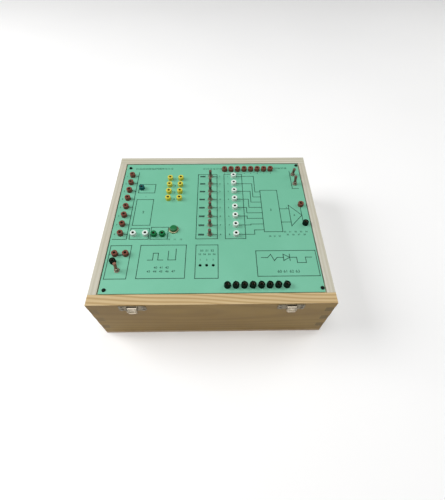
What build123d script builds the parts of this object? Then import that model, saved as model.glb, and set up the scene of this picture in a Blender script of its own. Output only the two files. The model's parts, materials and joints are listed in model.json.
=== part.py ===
from build123d import *
import os
from math import sqrt

# A bench trainer in a wooden box. Millimetres, +Z up, +Y towards the back, +X to the operator's right.
# The origin is the middle of the face that the box stands on.

# Box
box_width = 365.0
box_depth = 320.0
box_height = 110.0
side_thickness = 13.0
end_thickness = 17.0  # the front and back boards
base_thickness = 6.0
finger_count = 7  # fingers of the corner joints, counted up the corner
post_size = 18.0
base_screws_per_end = 3
base_screws_per_side = 2

# Panel
panel_thickness = 3.0
panel_gap = 1.5
panel_recess = 0.8
hole_clearance = 0.1

# Wood screws. The long ones hold the base, the black ones the panel, the small ones the metal fittings.
base_screw_radius = 1.6
base_screw_head_radius = 3.6
base_screw_length = 26.0
panel_screw_radius = 1.5
panel_screw_head_radius = 3.0
panel_screw_head_height = 1.9
panel_screw_length = 18.0
fitting_screw_radius = 1.2
fitting_screw_head_radius = 2.3
fitting_screw_head_height = 1.1
fitting_screw_length = 11.0
driver_slot_width = 0.7
driver_slot_depth = 0.8

# Sockets for a 4 mm plug
plug_bore_radius = 2.0
plug_bore_length = 18.7
sleeve_radius = 2.6
sleeve_floor = 1.5
head_radius = 5.0
head_height = 7.0
head_chamfer = 0.7
lip_height = 0.8
lip_radius = 2.25
shank_radius = 3.5
shank_length = 9.0
socket_nut_flats = 10.0
socket_nut_height = 2.5
tab_length = 5.0
tab_width = 3.0
tab_thickness = 0.8

# The places and pitches below are measured from the middle of a panel of this width and depth, and they
# spread with the panel where it is another size.
drawn_panel = (336.0, 283.0)

# Places of the screws that hold the panel, left pair first, each from front to back
screw_marks = ((-160.3, -135.2), (-160.3, 131.0), (164.6, -134.9), (164.6, 136.4))

# Places of the sockets on the panel. The red and white columns stand by the toggles' rows.
row_pitch = 20.0
row_count = 8
row_middle = 36.5
red_column_middle_y = 38.7
white_column_middle_y = 35.4
plug_pitch = 12.7
plug_count = 8
line_middle_x = 67.4
red_column_x = -152.9
white_column_x = 39.6
red_line_y = 123.8
black_line_y = -130.2
yellow_columns_x = (-80.0, -60.0)
yellow_pitch = 17.3
yellow_rows = 4
yellow_middle_y = 73.8
white_pair = ((-131.0, -32.6), (-111.0, -32.6))
green_pair = ((-97.1, -33.4), (-83.1, -33.4))
blue_place = (-131.0, 75.0)
red_singles = ((157.2, 30.7), (-154.6, -72.1), (-137.4, -72.1))
black_singles = ((158.8, -12.1), (-155.3, -86.1))

# Small flush sockets for a 2 mm pin
pin_bore_radius = 1.0
pin_bore_length = 7.0
pin_flange_radius = 2.3
pin_flange_height = 0.4
pin_shank_radius = 1.9
pin_shank_length = 9.0
pin_pitch = 10.2
pin_count = 3
pin_middle = (-8.7, -93.5)

# Toggle switches
toggle_column_x = -4.2
toggle_upper_right = (154.3, 110.0)
toggle_lower_right = (154.5, 84.5)
toggle_lower_left = (-146.4, -102.0)
bushing_radius = 3.0
bushing_height = 6.5
bushing_bore_radius = 2.4
neck_bore_radius = 1.6
mouth_radius = 2.4
pivot_height = 3.5  # above the panel
pivot_clearance = 0.05
lever_neck_radius = 1.1
lever_tail_radius = 0.8
lever_tail_length = 4.5
lever_flare_start = 7.4
lever_flare_end = 8.3
lever_flare_radius = 2.3
lever_tip_radius = 2.7
lever_height = 18.0
lever_throw = 13.0  # degrees each way from upright
switch_body_width = 7.0
switch_body_length = 12.7
switch_body_depth = 9.5
toggle_nut_flats = 8.0
toggle_nut_height = 2.0
terminal_pitch = 4.7
terminal_length = 4.0
terminal_width = 2.0

# Push button
button_place = (-65.1, -22.7)
button_cap_radius = 6.0
button_cap_height = 6.5
button_dome = 1.4
button_travel = 3.0
button_clearance = 0.08
button_skirt = 5.0  # how far the cap reaches below the panel's face
button_flange_radius = 6.5
button_flange_height = 1.8
bezel_radius = 8.5
bezel_height = 2.3
bezel_chamfer = 0.9
barrel_radius = 7.4
barrel_length = 12.0
button_base_length = 6.0
button_nut_flats = 18.0
button_nut_height = 3.0
button_spring_radius = 4.4
button_spring_wire = 0.35
button_spring_turns = 5

# Case latches on the front board. Heights are measured down from the rim, reaches out from the board.
latch_inset = 66.5  # of its middle from the box's side
latch_plate_width = 40.0
latch_plate_height = 14.0
latch_plate_top = 2.6
latch_plate_thickness = 1.0
latch_corner = 2.5
latch_screw_spacing_x = 32.0
latch_screw_spacing_z = 7.5
lug_gap = 14.4  # between the two lugs
lug_thickness = 1.0
lug_height = 6.4
lug_reach = 5.2
lever_pin_radius = 0.9
lever_pin_down = 5.5
lever_pin_reach = 3.3
latch_lever_width = 13.4
latch_lever_thickness = 1.0
latch_lever_end = 15.8
latch_barrel_radius = 1.9
latch_web_reach = 1.5
latch_lip_reach = 5.6
latch_cheek_margin = 1.5  # of the cheeks round the claw's rivet
claw_pin_radius = 0.7
claw_pin_down = 8.6
claw_pin_reach = 5.0
claw_barrel_radius = 1.3
claw_gap = 0.4  # each side, inside the lever's cheeks
claw_thickness = 1.0
claw_length = 5.8
claw_hook = 1.8
pin_running_clearance = 0.06

# Lift-off hinge halves on the back board
hinge_inset = 47.5  # of its middle from the box's side
hinge_leaf_width = 32.0
hinge_leaf_height = 16.0
hinge_leaf_thickness = 1.2
hinge_leaf_top = 9.0  # below the rim, clear of the other half's knuckle
hinge_strap_foot = 2.0  # of the knuckle's strap, down the leaf
hinge_knuckle_radius = 2.6
hinge_knuckle_length = 12.0
hinge_knuckle_drop = 6.0  # of its axis below the rim
hinge_pin_radius = 1.25
hinge_pin_root_radius = 1.5  # inside its knuckle
hinge_pin_free_length = 11.0
hinge_screw_spacing = 24.0

# Mains inlet in the back board
inlet_inset = 82.5  # of its middle from the box's right side
inlet_z = 48.0
inlet_flange_width = 50.0
inlet_flange_height = 24.0
inlet_flange_thickness = 3.0
inlet_screw_spacing = 40.0
inlet_body_width = 27.4
inlet_body_height = 19.8
inlet_body_depth = 24.0
inlet_recess_width = 24.4
inlet_recess_height = 16.4
inlet_recess_depth = 17.0
inlet_recess_corner = 4.5
inlet_blade_width = 2.0
inlet_blade_height = 4.0
inlet_blade_length = 15.0
inlet_blade_spread = 7.0
inlet_blade_offset = 2.0
inlet_tab_length = 8.0
inlet_cutout_gap = 0.3

# Inside the box
board_thickness = 1.6
pillar_height = 10.0
pillar_flats = 5.5
pillar_inset = 7.0
board_screw_radius = 1.5
board_screw_head_radius = 2.8
board_screw_head_height = 1.7
board_screw_length = 7.6
strap_screw_length = 5.6
logic_board_size = (190.0, 140.0)
logic_board_place = (-60.0, 40.0)
chip_size = (20.0, 6.4, 3.4)
chip_legs = 8  # on each side
chip_leg_pitch = 2.54
chip_leg_width = 0.5
chip_leg_splay = 0.6
chip_rows = 2
chips_per_row = 4
chip_spacing = (36.0, 44.0)
supply_board_size = (150.0, 80.0)
supply_board_place = (60.0, -90.0)
capacitor_radius = 8.0
capacitor_height = 25.0
capacitor_pitch = 20.0
capacitor_count = 3
capacitor_groove = 0.6
heatsink_share = 0.44  # of its board's length
heatsink_inset = 14.0  # of its end from its board's end
heatsink_height = 30.0
heatsink_base = 3.0
heatsink_fin = 1.5
heatsink_fin_reach = 12.0
heatsink_fin_count = 9
regulator_count = 3
regulator_pitch = 20.0
regulator_size = (10.0, 4.5, 15.0)
regulator_tab_height = 5.0
regulator_tab_thickness = 1.3
regulator_leg_pitch = 2.54
regulator_leg_width = 0.8
transformer_place = (105.0, 45.0)
core_width = 57.0
core_depth = 22.0
core_height = 47.5
core_leg = 19.0
winding_gap = 0.3
winding_overhang = 9.0
strap_thickness = 1.2
strap_width = 16.0
strap_foot = 14.0

# Places that follow from the sizes
half_width = box_width / 2
half_depth = box_depth / 2
inner_x = half_width - side_thickness
inner_y = half_depth - end_thickness
panel_half_x = inner_x - panel_gap
panel_half_y = inner_y - panel_gap
panel_top = box_height - panel_recess
panel_bottom = panel_top - panel_thickness
finger_height = (box_height - base_thickness) / finger_count
board_bottom = base_thickness + pillar_height
board_top = board_bottom + board_thickness
latch_offset = half_width - latch_inset
hinge_places = (hinge_inset - half_width, half_width - hinge_inset)
inlet_x = half_width - inlet_inset


def to_size(x, y):
    """A place, pitch or length as it falls on this panel."""
    width, depth = drawn_panel
    return (x * 2 * panel_half_x / width, y * 2 * panel_half_y / depth)


logic_size = to_size(*logic_board_size)
logic_place = to_size(*logic_board_place)
chip_pitch = to_size(*chip_spacing)
supply_size = to_size(*supply_board_size)
supply_place = to_size(*supply_board_place)
transformer_x, transformer_y = to_size(*transformer_place)
heatsink_length = supply_size[0] * heatsink_share


def block(x_from, x_to, y_from, y_to, z_from, z_to):
    size = (x_to - x_from, y_to - y_from, z_to - z_from)
    middle = ((x_from + x_to) / 2, (y_from + y_to) / 2, (z_from + z_to) / 2)
    return Pos(*middle) * Box(*size)


def rod(radius, z_from, z_to, x=0.0, y=0.0):
    return Pos(x, y, (z_from + z_to) / 2) * Cylinder(radius, z_to - z_from)


def rod_along_x(radius, x_from, x_to, y, z):
    return Pos((x_from + x_to) / 2, y, z) * Rot(0, 90, 0) * Cylinder(radius, x_to - x_from)


def rod_along_y(radius, y_from, y_to, x, z):
    return Pos(x, (y_from + y_to) / 2, z) * Rot(90, 0, 0) * Cylinder(radius, y_to - y_from)


def turned(outline):
    """A solid of revolution about Z from (radius, height) points."""
    face = make_face(Plane.XZ * Polyline(*outline, close=True))
    return revolve(face, Axis.Z)


def hexagon(flats, z_from, z_to):
    side = RegularPolygon(flats / 2, 6, major_radius=False, rotation=30)
    return Pos(0, 0, z_from) * extrude(side, z_to - z_from)


def copies(piece, places, z=0.0):
    return [Pos(x, y, z) * piece for x, y in places]


def cut(piece, tools):
    for tool in tools:
        piece = piece - tool
    return piece


def write(name, *pieces):
    solids = [solid for piece in pieces for solid in piece.solids()]
    shape = solids[0] if len(solids) == 1 else Compound(solids)
    export_step(shape, f"parts/{name}.step")


def spread(middle, pitch, count):
    return [middle + (i - (count - 1) / 2) * pitch for i in range(count)]


# Where each fitting stands on the panel

row_heights = spread(row_middle, row_pitch, row_count)
line_places = spread(line_middle_x, plug_pitch, plug_count)
drawn_sockets = {
    "red": [(red_column_x, y) for y in spread(red_column_middle_y, row_pitch, row_count)]
    + [(x, red_line_y) for x in line_places]
    + list(red_singles),
    "black": [(x, black_line_y) for x in line_places] + list(black_singles),
    "white": [(white_column_x, y) for y in spread(white_column_middle_y, row_pitch, row_count)]
    + list(white_pair),
    "yellow": [
        (x, y)
        for x in yellow_columns_x
        for y in spread(yellow_middle_y, yellow_pitch, yellow_rows)
    ],
    "green": list(green_pair),
    "blue": [blue_place],
}
socket_places = {
    colour: [to_size(x, y) for x, y in places] for colour, places in drawn_sockets.items()
}
all_sockets = [place for places in socket_places.values() for place in places]
pin_places = [to_size(x, pin_middle[1]) for x in spread(pin_middle[0], pin_pitch, pin_count)]
button_places = [to_size(*button_place)]
# Each toggle's name, its place, and which way it leans at rest: -1 towards the front, +1 towards the back
toggles = [
    (f"toggle_{i + 1}", (toggle_column_x, y), -1) for i, y in enumerate(row_heights)
] + [
    ("toggle_upper_right", toggle_upper_right, -1),
    ("toggle_lower_right", toggle_lower_right, 1),
    ("toggle_lower_left", toggle_lower_left, 1),
]
toggle_places = [to_size(*place) for _, place, _ in toggles]
panel_screw_places = [to_size(*place) for place in screw_marks]
base_screw_places = [
    (x, sy * (half_depth - end_thickness / 2))
    for x in spread(0, box_width / base_screws_per_end, base_screws_per_end)
    for sy in (-1, 1)
] + [
    (sx * (half_width - side_thickness / 2), y)
    for y in spread(0, box_depth / (base_screws_per_side + 1), base_screws_per_side)
    for sx in (-1, 1)
]


# Box

def finger_blocks(first, x_side, y_side):
    """Every second finger space at one corner, counted up from the base board."""
    x_edges = sorted((x_side * inner_x, x_side * half_width))
    y_edges = sorted((y_side * inner_y, y_side * half_depth))
    return [
        block(*x_edges, *y_edges, base_thickness + i * finger_height,
              base_thickness + (i + 1) * finger_height)
        for i in range(first, finger_count, 2)
    ]


def base_screw_holes():
    return [
        rod(base_screw_radius, 0, base_screw_length, x, y) for x, y in base_screw_places
    ]


def end_board(y_side):
    y_edges = sorted((y_side * inner_y, y_side * half_depth))
    board = block(-half_width, half_width, *y_edges, base_thickness, box_height)
    board = cut(board, finger_blocks(1, -1, y_side) + finger_blocks(1, 1, y_side))
    return cut(board, base_screw_holes())


def side_board(x_side):
    x_edges = sorted((x_side * inner_x, x_side * half_width))
    board = block(*x_edges, -inner_y, inner_y, base_thickness, box_height)
    for y_side in (-1, 1):
        for finger in finger_blocks(1, x_side, y_side):
            board = board + finger
    return cut(board, base_screw_holes())


def base_screw():
    return turned([
        (0, 0), (base_screw_head_radius, 0), (base_screw_radius, base_screw_head_radius),
        (base_screw_radius, base_screw_length - base_screw_radius), (0, base_screw_length),
    ])


def base_board():
    board = block(-half_width, half_width, -half_depth, half_depth, 0, base_thickness)
    seat = turned([
        (0, 0), (base_screw_head_radius, 0), (base_screw_radius, base_screw_head_radius),
        (base_screw_radius, base_thickness), (0, base_thickness),
    ])
    board = cut(board, copies(seat, base_screw_places))
    depth = base_thickness + strap_thickness - strap_screw_length
    strap_hole = rod(board_screw_radius, depth, base_thickness)
    return cut(board, copies(strap_hole, strap_screw_places()))


def corner_posts():
    posts = []
    for (sx, sy), (hole_x, hole_y) in zip(
        [(sx, sy) for sx in (-1, 1) for sy in (-1, 1)], panel_screw_places
    ):
        x_edges = sorted((sx * (inner_x - post_size), sx * inner_x))
        y_edges = sorted((sy * (inner_y - post_size), sy * inner_y))
        post = block(*x_edges, *y_edges, base_thickness, panel_bottom)
        depth = panel_top - panel_screw_length
        posts.append(post - rod(panel_screw_radius, depth, panel_bottom, hole_x, hole_y))
    return posts


# Screws, each with its head's underside at height 0

def pan_screw(radius, head_radius_, head_height_, length):
    screw = turned([
        (0, -length), (radius, radius - length), (radius, 0), (head_radius_, 0),
        (head_radius_, head_height_ * 0.4), (head_radius_ * 0.72, head_height_),
        (0, head_height_),
    ])
    slot = block(-head_radius_, head_radius_, -driver_slot_width / 2, driver_slot_width / 2,
                 head_height_ - driver_slot_depth, head_height_)
    return screw - slot


panel_screw = pan_screw(panel_screw_radius, panel_screw_head_radius, panel_screw_head_height,
                        panel_screw_length)
fitting_screw = pan_screw(fitting_screw_radius, fitting_screw_head_radius,
                          fitting_screw_head_height, fitting_screw_length)
board_screw = pan_screw(board_screw_radius, board_screw_head_radius, board_screw_head_height,
                        board_screw_length)
strap_screw = pan_screw(board_screw_radius, board_screw_head_radius, board_screw_head_height,
                        strap_screw_length)


# Panel

def panel():
    sheet = block(-panel_half_x, panel_half_x, -panel_half_y, panel_half_y,
                  panel_bottom, panel_top)

    def holes(radius, places):
        drill = rod(radius + hole_clearance, panel_bottom, panel_top)
        return copies(drill, places)

    return cut(
        sheet,
        holes(shank_radius, all_sockets)
        + holes(pin_shank_radius, pin_places)
        + holes(bushing_radius, toggle_places)
        + holes(barrel_radius, button_places)
        + holes(panel_screw_radius, panel_screw_places),
    )


# Sockets, each with the panel's face at height 0

def socket_head():
    lip_bottom = head_height - lip_height
    return turned([
        (sleeve_radius, -shank_length), (shank_radius, -shank_length), (shank_radius, 0),
        (head_radius, 0), (head_radius, head_height - head_chamfer),
        (head_radius - head_chamfer, head_height), (sleeve_radius + lip_height / 2, head_height),
        (lip_radius, lip_bottom), (sleeve_radius, lip_bottom),
    ])


def socket_sleeve():
    top = head_height - lip_height
    bore_end = top - plug_bore_length
    bottom = bore_end - sleeve_floor
    sleeve = rod(sleeve_radius, bottom, top) - rod(plug_bore_radius, bore_end, top)
    tab = block(-tab_width / 2, tab_width / 2, -tab_thickness / 2, tab_thickness / 2,
                bottom - tab_length, bottom)
    return sleeve + tab


def nut_under_panel(flats, height, bore_radius):
    bottom = -panel_thickness - height
    return hexagon(flats, bottom, -panel_thickness) - rod(bore_radius, bottom, -panel_thickness)


def pin_socket():
    return turned([
        (0, -pin_shank_length), (pin_shank_radius, -pin_shank_length), (pin_shank_radius, 0),
        (pin_flange_radius, 0), (pin_flange_radius, pin_flange_height),
        (pin_bore_radius, pin_flange_height),
        (pin_bore_radius, pin_flange_height - pin_bore_length),
        (0, pin_flange_height - pin_bore_length),
    ])


# Toggle switches, each with the panel's face at height 0

def toggle_bushing():
    """A threaded tube with a conical seat, at 45 degrees, that the lever's ball turns in."""
    seat = pivot_height + bushing_bore_radius * sqrt(2)
    return turned([
        (bushing_bore_radius, -panel_thickness), (bushing_radius, -panel_thickness),
        (bushing_radius, bushing_height), (mouth_radius, bushing_height),
        (neck_bore_radius, seat - neck_bore_radius),
        (bushing_bore_radius, seat - bushing_bore_radius),
    ])


def toggle_nut():
    return hexagon(toggle_nut_flats, 0, toggle_nut_height) - rod(
        bushing_radius, 0, toggle_nut_height
    )


def toggle_body():
    bottom = -panel_thickness - switch_body_depth
    return block(-switch_body_width / 2, switch_body_width / 2, -switch_body_length / 2,
                 switch_body_length / 2, bottom, -panel_thickness)


def toggle_terminals():
    top = -panel_thickness - switch_body_depth
    tab = block(-terminal_width / 2, terminal_width / 2, -tab_thickness / 2,
                tab_thickness / 2, top - terminal_length, top)
    return [Pos(0, y, 0) * tab for y in spread(0, terminal_pitch, 3)]


def toggle_lever(lean):
    """An upright lever, tipped about its ball to where it rests."""
    stem = turned([
        (0, pivot_height - lever_tail_length), (lever_tail_radius, pivot_height - lever_tail_length),
        (lever_tail_radius, pivot_height), (lever_neck_radius, pivot_height),
        (lever_neck_radius, lever_flare_start), (lever_flare_radius, lever_flare_end),
        (lever_tip_radius, lever_height - lever_tip_radius * 0.6),
        (lever_tip_radius * 0.85, lever_height - lever_tip_radius * 0.22),
        (lever_tip_radius * 0.5, lever_height), (0, lever_height),
    ])
    lever = stem + Pos(0, 0, pivot_height) * Sphere(bushing_bore_radius - pivot_clearance)
    pivot = Axis((0, 0, pivot_height), (1, 0, 0))
    return lever.rotate(pivot, -lean * lever_throw)


# Push button, with the panel's face at height 0

bezel_bore_radius = button_cap_radius + button_clearance
shoulder = button_flange_height - button_skirt  # the barrel's step that keeps the cap in


def button_cap():
    return turned([
        (0, -button_skirt), (button_flange_radius, -button_skirt),
        (button_flange_radius, shoulder), (button_cap_radius, shoulder),
        (button_cap_radius, button_cap_height - button_dome),
        (button_cap_radius * 0.9, button_cap_height - button_dome * 0.45),
        (button_cap_radius * 0.6, button_cap_height - button_dome * 0.1),
        (0, button_cap_height),
    ])


def button_bezel():
    return turned([
        (button_flange_radius + button_clearance, -barrel_length), (barrel_radius, -barrel_length),
        (barrel_radius, 0), (bezel_radius, 0), (bezel_radius, bezel_height - bezel_chamfer),
        (bezel_radius - bezel_chamfer, bezel_height), (bezel_bore_radius, bezel_height),
        (bezel_bore_radius, shoulder + button_clearance),
        (button_flange_radius + button_clearance, shoulder + button_clearance),
    ])


def button_base():
    return rod(barrel_radius, -barrel_length - button_base_length, -barrel_length)


def button_terminals():
    top = -barrel_length - button_base_length
    tab = block(-terminal_width / 2, terminal_width / 2, -tab_thickness / 2,
                tab_thickness / 2, top - terminal_length, top)
    return [Pos(x, 0, 0) * tab for x in (-terminal_pitch, terminal_pitch)]


def button_spring():
    """A helix between the base and the cap's underside, with its ends cut flat."""
    low, high = -barrel_length, -button_skirt
    height = high - low
    path = Helix(height / button_spring_turns, height, button_spring_radius)
    section = Plane(path @ 0, z_dir=path % 0) * Circle(button_spring_wire)
    coil = Pos(0, 0, low) * sweep(section, path=path)
    keep = rod(button_spring_radius + 2 * button_spring_wire, low, high)
    return coil & keep


# Latches. A latch is drawn in its own frame: x across, y the reach out of the board, z down from the rim,
# and is then set on the front board.

def latch_place(piece, x):
    """Set a latch piece, drawn with reach along +Y and depth along +Z, on the front board."""
    return Pos(x, -half_depth, box_height) * Rot(180, 0, 0) * piece


def latch_plate():
    top, bottom = latch_plate_top, latch_plate_top + latch_plate_height
    plate = block(-latch_plate_width / 2, latch_plate_width / 2, 0, latch_plate_thickness,
                  top, bottom)
    plate = fillet(plate.edges().filter_by(Axis.Y), latch_corner)
    for side in (-1, 1):
        x_edges = sorted((side * lug_gap / 2, side * (lug_gap / 2 + lug_thickness)))
        lug = block(*x_edges, latch_plate_thickness, lug_reach, top, top + lug_height)
        plate = plate + lug
    hole = rod_along_x(lever_pin_radius, -lug_gap, lug_gap, lever_pin_reach, lever_pin_down)
    screw_holes = [
        rod_along_y(fitting_screw_radius, 0, latch_plate_thickness, x, z)
        for x, z in latch_screw_spots()
    ]
    return cut(plate, [hole] + screw_holes)


def latch_screw_spots():
    middle = latch_plate_top + latch_plate_height / 2
    return [
        (sx * latch_screw_spacing_x / 2, middle + sz * latch_screw_spacing_z / 2)
        for sx in (-1, 1)
        for sz in (-1, 1)
    ]


def latch_pin():
    half = lug_gap / 2 + lug_thickness + latch_plate_thickness / 2
    return rod_along_x(lever_pin_radius, -half, half, lever_pin_reach, lever_pin_down)


def latch_lever():
    """A folded lever: a barrel on the pin, two cheeks, a web behind the claw and a finger lip at its end."""
    half = latch_lever_width / 2
    web_front = latch_web_reach + latch_lever_thickness
    cheek_front = claw_pin_reach + latch_cheek_margin
    outline = [
        (latch_web_reach, lever_pin_down), (latch_web_reach, latch_lever_end),
        (web_front + latch_lever_thickness, latch_lever_end),
        (cheek_front, claw_pin_down + 2 * latch_cheek_margin),
        (cheek_front, claw_pin_down - latch_cheek_margin),
        (lever_pin_reach, lever_pin_down - latch_cheek_margin),
    ]
    side_face = make_face(Plane.YZ * Polyline(*outline, close=True))
    lever = rod_along_x(latch_barrel_radius, -half, half, lever_pin_reach, lever_pin_down)
    for x_from in (-half, half - latch_lever_thickness):
        lever = lever + Pos(x_from, 0, 0) * extrude(side_face, latch_lever_thickness, dir=(1, 0, 0))
    lever = lever + block(-half, half, latch_web_reach, web_front, lever_pin_down, latch_lever_end)
    lever = lever + block(-half, half, latch_web_reach, latch_lip_reach,
                          latch_lever_end - latch_lever_thickness, latch_lever_end)
    pin_hole = rod_along_x(lever_pin_radius + pin_running_clearance, -half, half,
                           lever_pin_reach, lever_pin_down)
    rivet_hole = rod_along_x(claw_pin_radius, -half, half, claw_pin_reach, claw_pin_down)
    return cut(lever, [pin_hole, rivet_hole])


def claw_rivet():
    half = latch_lever_width / 2
    return rod_along_x(claw_pin_radius, -half, half, claw_pin_reach, claw_pin_down)


def latch_claw():
    """A hooked plate that hangs from its rivet, ready to reach up over a lid's catch."""
    half = latch_lever_width / 2 - latch_lever_thickness - claw_gap
    front = claw_pin_reach + claw_thickness / 2
    end = claw_pin_down + claw_length
    claw = rod_along_x(claw_barrel_radius, -half, half, claw_pin_reach, claw_pin_down)
    claw = claw + block(-half, half, front - claw_thickness, front, claw_pin_down, end)
    claw = claw + block(-half, half, front - claw_thickness, front + claw_hook,
                        end - claw_thickness, end)
    bore = claw_pin_radius + pin_running_clearance
    return claw - rod_along_x(bore, -half, half, claw_pin_reach, claw_pin_down)


# Lift-off hinge halves on the back board

def hinge_knuckle_place():
    return half_depth + hinge_knuckle_radius, box_height - hinge_knuckle_drop


def hinge_leaf():
    y, z = hinge_knuckle_place()
    half = hinge_leaf_width / 2
    top = box_height - hinge_leaf_top
    leaf = block(-half, half, half_depth, half_depth + hinge_leaf_thickness,
                 top - hinge_leaf_height, top)
    strap = block(0, hinge_knuckle_length, half_depth, y, top - hinge_strap_foot, z)
    knuckle = rod_along_x(hinge_knuckle_radius, 0, hinge_knuckle_length, y, z)
    knuckle = knuckle + strap - rod_along_x(hinge_pin_root_radius, 0, hinge_knuckle_length, y, z)
    holes = [
        rod_along_y(fitting_screw_radius, half_depth, half_depth + hinge_leaf_thickness, x, screw_z)
        for x, screw_z in hinge_screw_spots()
    ]
    return cut(leaf + knuckle, holes)


def hinge_screw_spots():
    z = box_height - hinge_leaf_top - hinge_leaf_height * 0.65
    return [(x, z) for x in spread(0, hinge_screw_spacing / 2, 3)]


def hinge_pin():
    y, z = hinge_knuckle_place()
    free_end = rod_along_x(hinge_pin_radius, -hinge_pin_free_length, 0, y, z)
    return free_end + rod_along_x(hinge_pin_root_radius, 0, hinge_knuckle_length, y, z)


# Mains inlet, drawn with its flange's back at y = 0 and its middle at the origin

def inlet_recess(width, height, depth):
    """The plug-shaped recess, with its two upper corners cut off."""
    x, z, corner = width / 2, height / 2, inlet_recess_corner
    outline = [(-x, -z), (x, -z), (x, z - corner), (x - corner, z), (corner - x, z), (-x, z - corner)]
    face = make_face(Plane.XZ * Polyline(*outline, close=True))
    mouth = inlet_flange_thickness
    return Pos(0, mouth - depth, 0) * extrude(face, depth, dir=(0, 1, 0))


def inlet_body():
    flange = block(-inlet_flange_width / 2, inlet_flange_width / 2, 0, inlet_flange_thickness,
                   -inlet_flange_height / 2, inlet_flange_height / 2)
    flange = fillet(flange.edges().filter_by(Axis.Y), latch_corner)
    shell = block(-inlet_body_width / 2, inlet_body_width / 2, -inlet_body_depth, 0,
                  -inlet_body_height / 2, inlet_body_height / 2)
    recess = inlet_recess(inlet_recess_width, inlet_recess_height, inlet_recess_depth)
    holes = [
        rod_along_y(fitting_screw_radius, 0, inlet_flange_thickness, x, 0)
        for x in (-inlet_screw_spacing / 2, inlet_screw_spacing / 2)
    ]
    return cut(flange + shell - recess, holes + [blade for blade in inlet_blades()])


def inlet_blades():
    """Three blades with their tabs at the back: the middle one stands above the outer two."""
    floor = inlet_flange_thickness - inlet_recess_depth
    blades = []
    for i in (-1, 0, 1):
        z = inlet_blade_offset if i == 0 else -inlet_blade_offset
        blades.append(block(
            i * inlet_blade_spread - inlet_blade_width / 2,
            i * inlet_blade_spread + inlet_blade_width / 2,
            -inlet_body_depth - inlet_tab_length, floor + inlet_blade_length,
            z - inlet_blade_height / 2, z + inlet_blade_height / 2,
        ))
    return blades


def on_back(piece):
    return Pos(inlet_x, half_depth, inlet_z) * piece


def back_board():
    board = end_board(1)
    gap = inlet_cutout_gap
    cutout = block(
        inlet_x - inlet_body_width / 2 - gap, inlet_x + inlet_body_width / 2 + gap,
        inner_y, half_depth,
        inlet_z - inlet_body_height / 2 - gap, inlet_z + inlet_body_height / 2 + gap,
    )
    depth = half_depth - fitting_screw_length
    holes = [
        rod_along_y(fitting_screw_radius, depth, half_depth, x0 + x, z)
        for x0 in hinge_places
        for x, z in hinge_screw_spots()
    ] + [
        rod_along_y(fitting_screw_radius, depth, half_depth, inlet_x + x, inlet_z)
        for x in (-inlet_screw_spacing / 2, inlet_screw_spacing / 2)
    ]
    return cut(board, [cutout] + holes)


def front_board():
    holes = [
        rod_along_y(fitting_screw_radius, -half_depth, -half_depth + fitting_screw_length,
                    side * latch_offset + x, box_height - z)
        for side in (-1, 1)
        for x, z in latch_screw_spots()
    ]
    return cut(end_board(-1), holes)


def fitting_screws():
    """The small screws of both latches, both hinge halves and the inlet."""
    forward = Rot(90, 0, 0) * fitting_screw
    backward = Rot(-90, 0, 0) * fitting_screw
    screws = [
        Pos(side * latch_offset + x, -half_depth - latch_plate_thickness, box_height - z) * forward
        for side in (-1, 1)
        for x, z in latch_screw_spots()
    ]
    screws += [
        Pos(x0 + x, half_depth + hinge_leaf_thickness, z) * backward
        for x0 in hinge_places
        for x, z in hinge_screw_spots()
    ]
    screws += [
        Pos(inlet_x + x, half_depth + inlet_flange_thickness, inlet_z) * backward
        for x in (-inlet_screw_spacing / 2, inlet_screw_spacing / 2)
    ]
    return screws


# Circuit boards

def board_corners(size, place):
    return [
        (place[0] + sx * (size[0] / 2 - pillar_inset), place[1] + sy * (size[1] / 2 - pillar_inset))
        for sx in (-1, 1)
        for sy in (-1, 1)
    ]


def circuit_board(size, place):
    x, y = place
    board = block(x - size[0] / 2, x + size[0] / 2, y - size[1] / 2, y + size[1] / 2,
                  board_bottom, board_top)
    drill = rod(board_screw_radius, board_bottom, board_top)
    return cut(board, copies(drill, board_corners(size, place)))


def pillars():
    pillar = hexagon(pillar_flats, base_thickness, board_bottom)
    pillar = pillar - rod(board_screw_radius, board_top - board_screw_length, board_bottom)
    places = board_corners(logic_size, logic_place)
    places += board_corners(supply_size, supply_place)
    return copies(pillar, places)


def chip():
    length, width, height = chip_size
    lift = chip_leg_splay
    body = block(-length / 2, length / 2, -width / 2, width / 2, lift, lift + height)
    for side in (-1, 1):
        y_edges = sorted((side * width / 2, side * (width / 2 + chip_leg_splay)))
        for x in spread(0, chip_leg_pitch, chip_legs):
            body = body + block(x - chip_leg_width / 2, x + chip_leg_width / 2, *y_edges,
                                0, lift + height / 2)
    return body


def chips():
    x0, y0 = logic_place
    places = [
        (x, y)
        for x in spread(x0, chip_pitch[0], chips_per_row)
        for y in spread(y0, chip_pitch[1], chip_rows)
    ]
    return copies(chip(), places, board_top)


def capacitors():
    top = board_top + capacitor_height
    groove_bottom = top - 4 * capacitor_groove
    can = turned([
        (0, board_top), (capacitor_radius, board_top), (capacitor_radius, groove_bottom),
        (capacitor_radius - capacitor_groove, groove_bottom + capacitor_groove),
        (capacitor_radius, groove_bottom + 2 * capacitor_groove),
        (capacitor_radius, top - capacitor_groove), (capacitor_radius - capacitor_groove, top),
        (0, top),
    ])
    x0 = supply_place[0] - supply_size[0] / 2 + pillar_inset + capacitor_pitch
    y0 = supply_place[1] - capacitor_radius
    return copies(can, [(x0 + i * capacitor_pitch, y0) for i in range(capacitor_count)])


heatsink_x = supply_place[0] + (supply_size[0] - heatsink_length) / 2 - heatsink_inset
heatsink_y = supply_place[1] + supply_size[1] / 2 - heatsink_fin_reach - heatsink_base


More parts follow.
